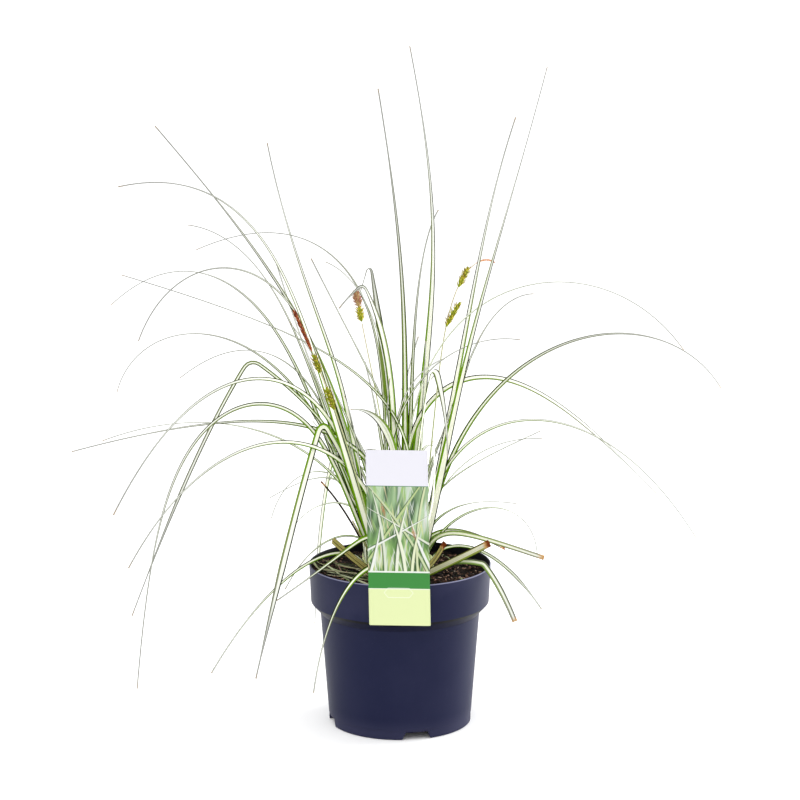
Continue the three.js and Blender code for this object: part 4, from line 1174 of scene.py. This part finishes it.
# %% [markdown]
# ## The label
# A plastic tag hangs in front of the pot from a tab hooked over the rim. It is a thin sheet with
# rounded lower corners, and the sheet is worked out as a grid: across times up, pulled in at the
# corners by the circle's formula. The print is maths on the sheet's own map: bands of colour, a
# picture of blades in a fan, and no words.

# %% Shape of the label
LABEL = Sizes(
    width=55.5, height=162.0, bottom=114.8, thick=0.8, corner=1.0, lean=1.1, sag=0.035, tab=24.0,
    deep=14.0, inset=1.6, edge=0.15,
)
BEVEL = 0.1


def sheet_points():
    """Rings round the sheet from bottom to top. At height v the half width is the full half, less
    what the circle of the corner takes away. Each ring goes along the back and returns in front."""
    half, corner, top, rim = LABEL.width / 2, LABEL.corner, LABEL.height, LABEL.edge
    low = corner * (1 - np.cos(np.linspace(0.12, np.pi / 2, 9)))
    v = np.concatenate([low, np.linspace(low[-1], top - rim, 60)[1:], [top]])
    cut_in = corner - np.sqrt(np.clip(corner ** 2 - (corner - np.minimum(v, corner)) ** 2, 0, None))
    across = np.linspace(-1, 1, 25)
    u = np.concatenate([across, across[::-1]])
    front = np.repeat([0.0, 1.0], 25)
    edge = np.where(np.abs(u) > 0.999, rim, 0.0) * (1 - 2 * front)
    x = u * (half - cut_in[:, None])
    y = -POT.rim - GAP - LABEL.thick + front * LABEL.thick + edge + 0 * x
    z = v[:, None] + 0 * x
    lean = np.radians(LABEL.lean)
    turned_x = x * np.cos(lean) - z * np.sin(lean)
    turned_z = x * (np.sin(lean) - LABEL.sag) + z * np.cos(lean) + LABEL.bottom
    uv = pairs((x / half + 1) / 2 - 2 * front, z / top)
    return np.stack([turned_x, y, turned_z], -1)[None], uv[None]


def slab(name, half, y_span, z_span):
    """A small box as a tube of four corners, half as wide on each side of the middle, with its
    edges taken in a little at both ends."""
    (near, far), (low, high) = y_span, z_span
    z = np.array([low, low + BEVEL, high - BEVEL, high])[:, None]
    inset = np.array([BEVEL, 0, 0, BEVEL])[:, None]
    x = np.array([-half, half, half, -half]) + inset * np.array([1, -1, -1, 1])
    y = np.array([near, near, far, far]) + inset * np.array([1, 1, -1, -1])
    points = np.stack([x, y, z + 0 * x], -1)[None]
    return make_tubes(name, points * MM, uv=np.array([-1.0, 0.5]))


panel_points, panel_map = sheet_points()
front, inside = -POT.rim - GAP, -POT.rim + POT.wall + LABEL.inset
over = POT.height + GAP + LABEL.thick
reach, hang = (front - 0.4, inside + LABEL.thick), (inside, inside + 0.7)
label = join("label_sheet", [
    make_tubes("panel", panel_points * MM, uv=panel_map),
    slab("bridge", LABEL.tab / 2, reach, (over - LABEL.thick, over)),
    slab("tab", LABEL.tab / 2 - BEVEL, hang, (over - LABEL.deep, over - BEVEL)),
])

# %% [markdown]
# ### The print
# The picture is built up as a painter would: a ground that is darker and greener low down, soft
# streaks that lean to both sides, then crisp pale blades in front, each with a shaded rim.

# %% The print
printed = Finish("label_print", Specular_IOR_Level=0.3, Roughness=0.35)
u, v = printed.map_xy()
x, y = (u - 0.5) * LABEL.width, v * LABEL.height
PICTURE_FOOT, PICTURE_TOP = 50.5, 129.0
t = (y - PICTURE_FOOT) / (PICTURE_TOP - PICTURE_FOOT)


def streaks(lean, fineness, seed):
    """Noise drawn out along a line that leans sideways by lean for each step up."""
    drawn_out = printed.vector((x - y * lean) * fineness, y * 0.025, seed)
    return printed.noise(drawn_out, 1.0, 1.0)


def painted_blade(colour, foot_x, tip_x, bow, width, ends, ink):
    """A soft stripe over the picture, from foot_x at its lower edge towards tip_x at its upper
    edge, bowed in the middle, that narrows to nothing at the share ends of the height."""
    middle = foot_x + (tip_x - foot_x) * t + bow * 4 * t * (1 - t)
    half = width / 2 * printed.rise(ends - t, 0.0, 0.6) + 0.05
    off = x - middle
    shadow = 1 - printed.rise(abs(off + half * 0.6), half * 0.8, half * 1.2)
    shaded = printed.mix(shadow * 0.8, colour, "35502a")
    return printed.mix((1 - printed.rise(abs(off), half * 0.6, half)) * (t < ends), shaded, ink)


ground = streaks(0.1, 0.12, 3.0)
picture = printed.mix(
    printed.rise(t, 0.1, 0.8),
    printed.ramp(ground, (0.35, "23400f"), (0.5, "4f7a30"), (0.65, "85a85c")),
    printed.ramp(ground, (0.35, "3f5a3c"), (0.5, "7d9a70"), (0.65, "a5bb98")),
)
# Lean and fineness of the streaks, where they start in the noise, and their colour.
STREAKS = [
    (-0.3, 0.2, 0.56, "8aa860"), (0.22, 0.25, 0.56, "b6bfb6"), (-0.12, 0.35, 0.6, "bcbf88"),
    (0.35, 0.3, 0.6, "94ad7c"), (0.05, 0.45, 0.6, "c8ccca"), (-0.2, 0.4, 0.63, "c4b294"),
    (-0.35, 0.5, 0.62, "c9cec2"),
]
for number, (lean, fineness, start, ink) in enumerate(STREAKS):
    soft = printed.rise(streaks(lean, fineness, number * 9.0), start, start + 0.12)
    picture = printed.mix(soft * 0.85, picture, ink)
# Where a blade starts and ends across the label, its bow, its width, how far up it goes, its
# colour.
BLADES = [
    (-34, 20, 0, 2.8, 1.3, "a5b67e"), (26, -26, 4, 2.6, 1.3, "b2bd94"),
    (17, 25, -3, 2.2, 1.4, "bcc49c"), (-12, -24, 3, 2.6, 1.1, "c2c8b6"),
    (70, -60, 0, 4.4, 0.9, "c6cabb"), (-64, 70, 4, 4.2, 0.85, "cfd2cc"),
    (-2, 14, -3, 3.2, 0.9, "cdd1c0"), (30, 6, -4, 3.2, 0.75, "d0d3cc"),
    (6, -20, 5, 3.4, 0.8, "cfd3bd"), (-25, -14, 3, 3.0, 0.65, "d1d4cd"),
    (12, 34, -4, 3.0, 0.7, "c9cfae"),
]
for *path, ink in BLADES:
    picture = painted_blade(picture, *path, ink)
SEED_HEADS = ((-13, 107), (14, 86))
grains = printed.rise(printed.noise(printed.vector(x, y), 1.3, 1.0), 0.42, 0.56)
for head_x, head_y in SEED_HEADS:
    oval = abs((x - head_x + (y - head_y) * 0.25) / 2.3) + abs((y - head_y) / 9.5)
    picture = printed.mix((1 - printed.rise(oval, 0.5, 1.0)) * grains, picture, "a5673c")
# Bands under the picture and over it: the share of the height where each ends or starts, its
# colour.
LOW_BANDS = [(0.313, "d2d6d0"), (0.304, "2f7a30"), (0.213, "d6dac8"), (0.208, "cbd59f")]
HIGH_BANDS = [(0.795, "4b7a58"), (0.799, "d1d0d8")]
colour = picture
for top, ink in LOW_BANDS:
    colour = printed.mix(v < top, colour, ink)
for bottom, ink in HIGH_BANDS:
    colour = printed.mix(v > bottom, colour, ink)
SLOT = Sizes(x=-0.6, y=30.5, outer=(13.4, 4.6), inner=(12.8, 4.1))
up = abs(y - SLOT.y)
beside = abs(x - SLOT.x) + up * 0.8
hole, rim = ((beside < wide) * (up < tall) for wide, tall in (SLOT.inner, SLOT.outer))
colour = printed.mix(rim * (1 - hole) * 0.7, colour, "e0e1da")
colour = printed.mix(u < -0.01, colour, "c8c8c4")  # the back and the tab have no print
sheen = printed.noise(printed.place(), 40.0)
printed.set(Base_Color=colour, Roughness=0.3 + sheen * 0.15)
printed.bump(printed.noise(printed.place(), 1200.0), 0.05, 0.0002)
dress(label, printed.material, "label", "label")

# %% [markdown]
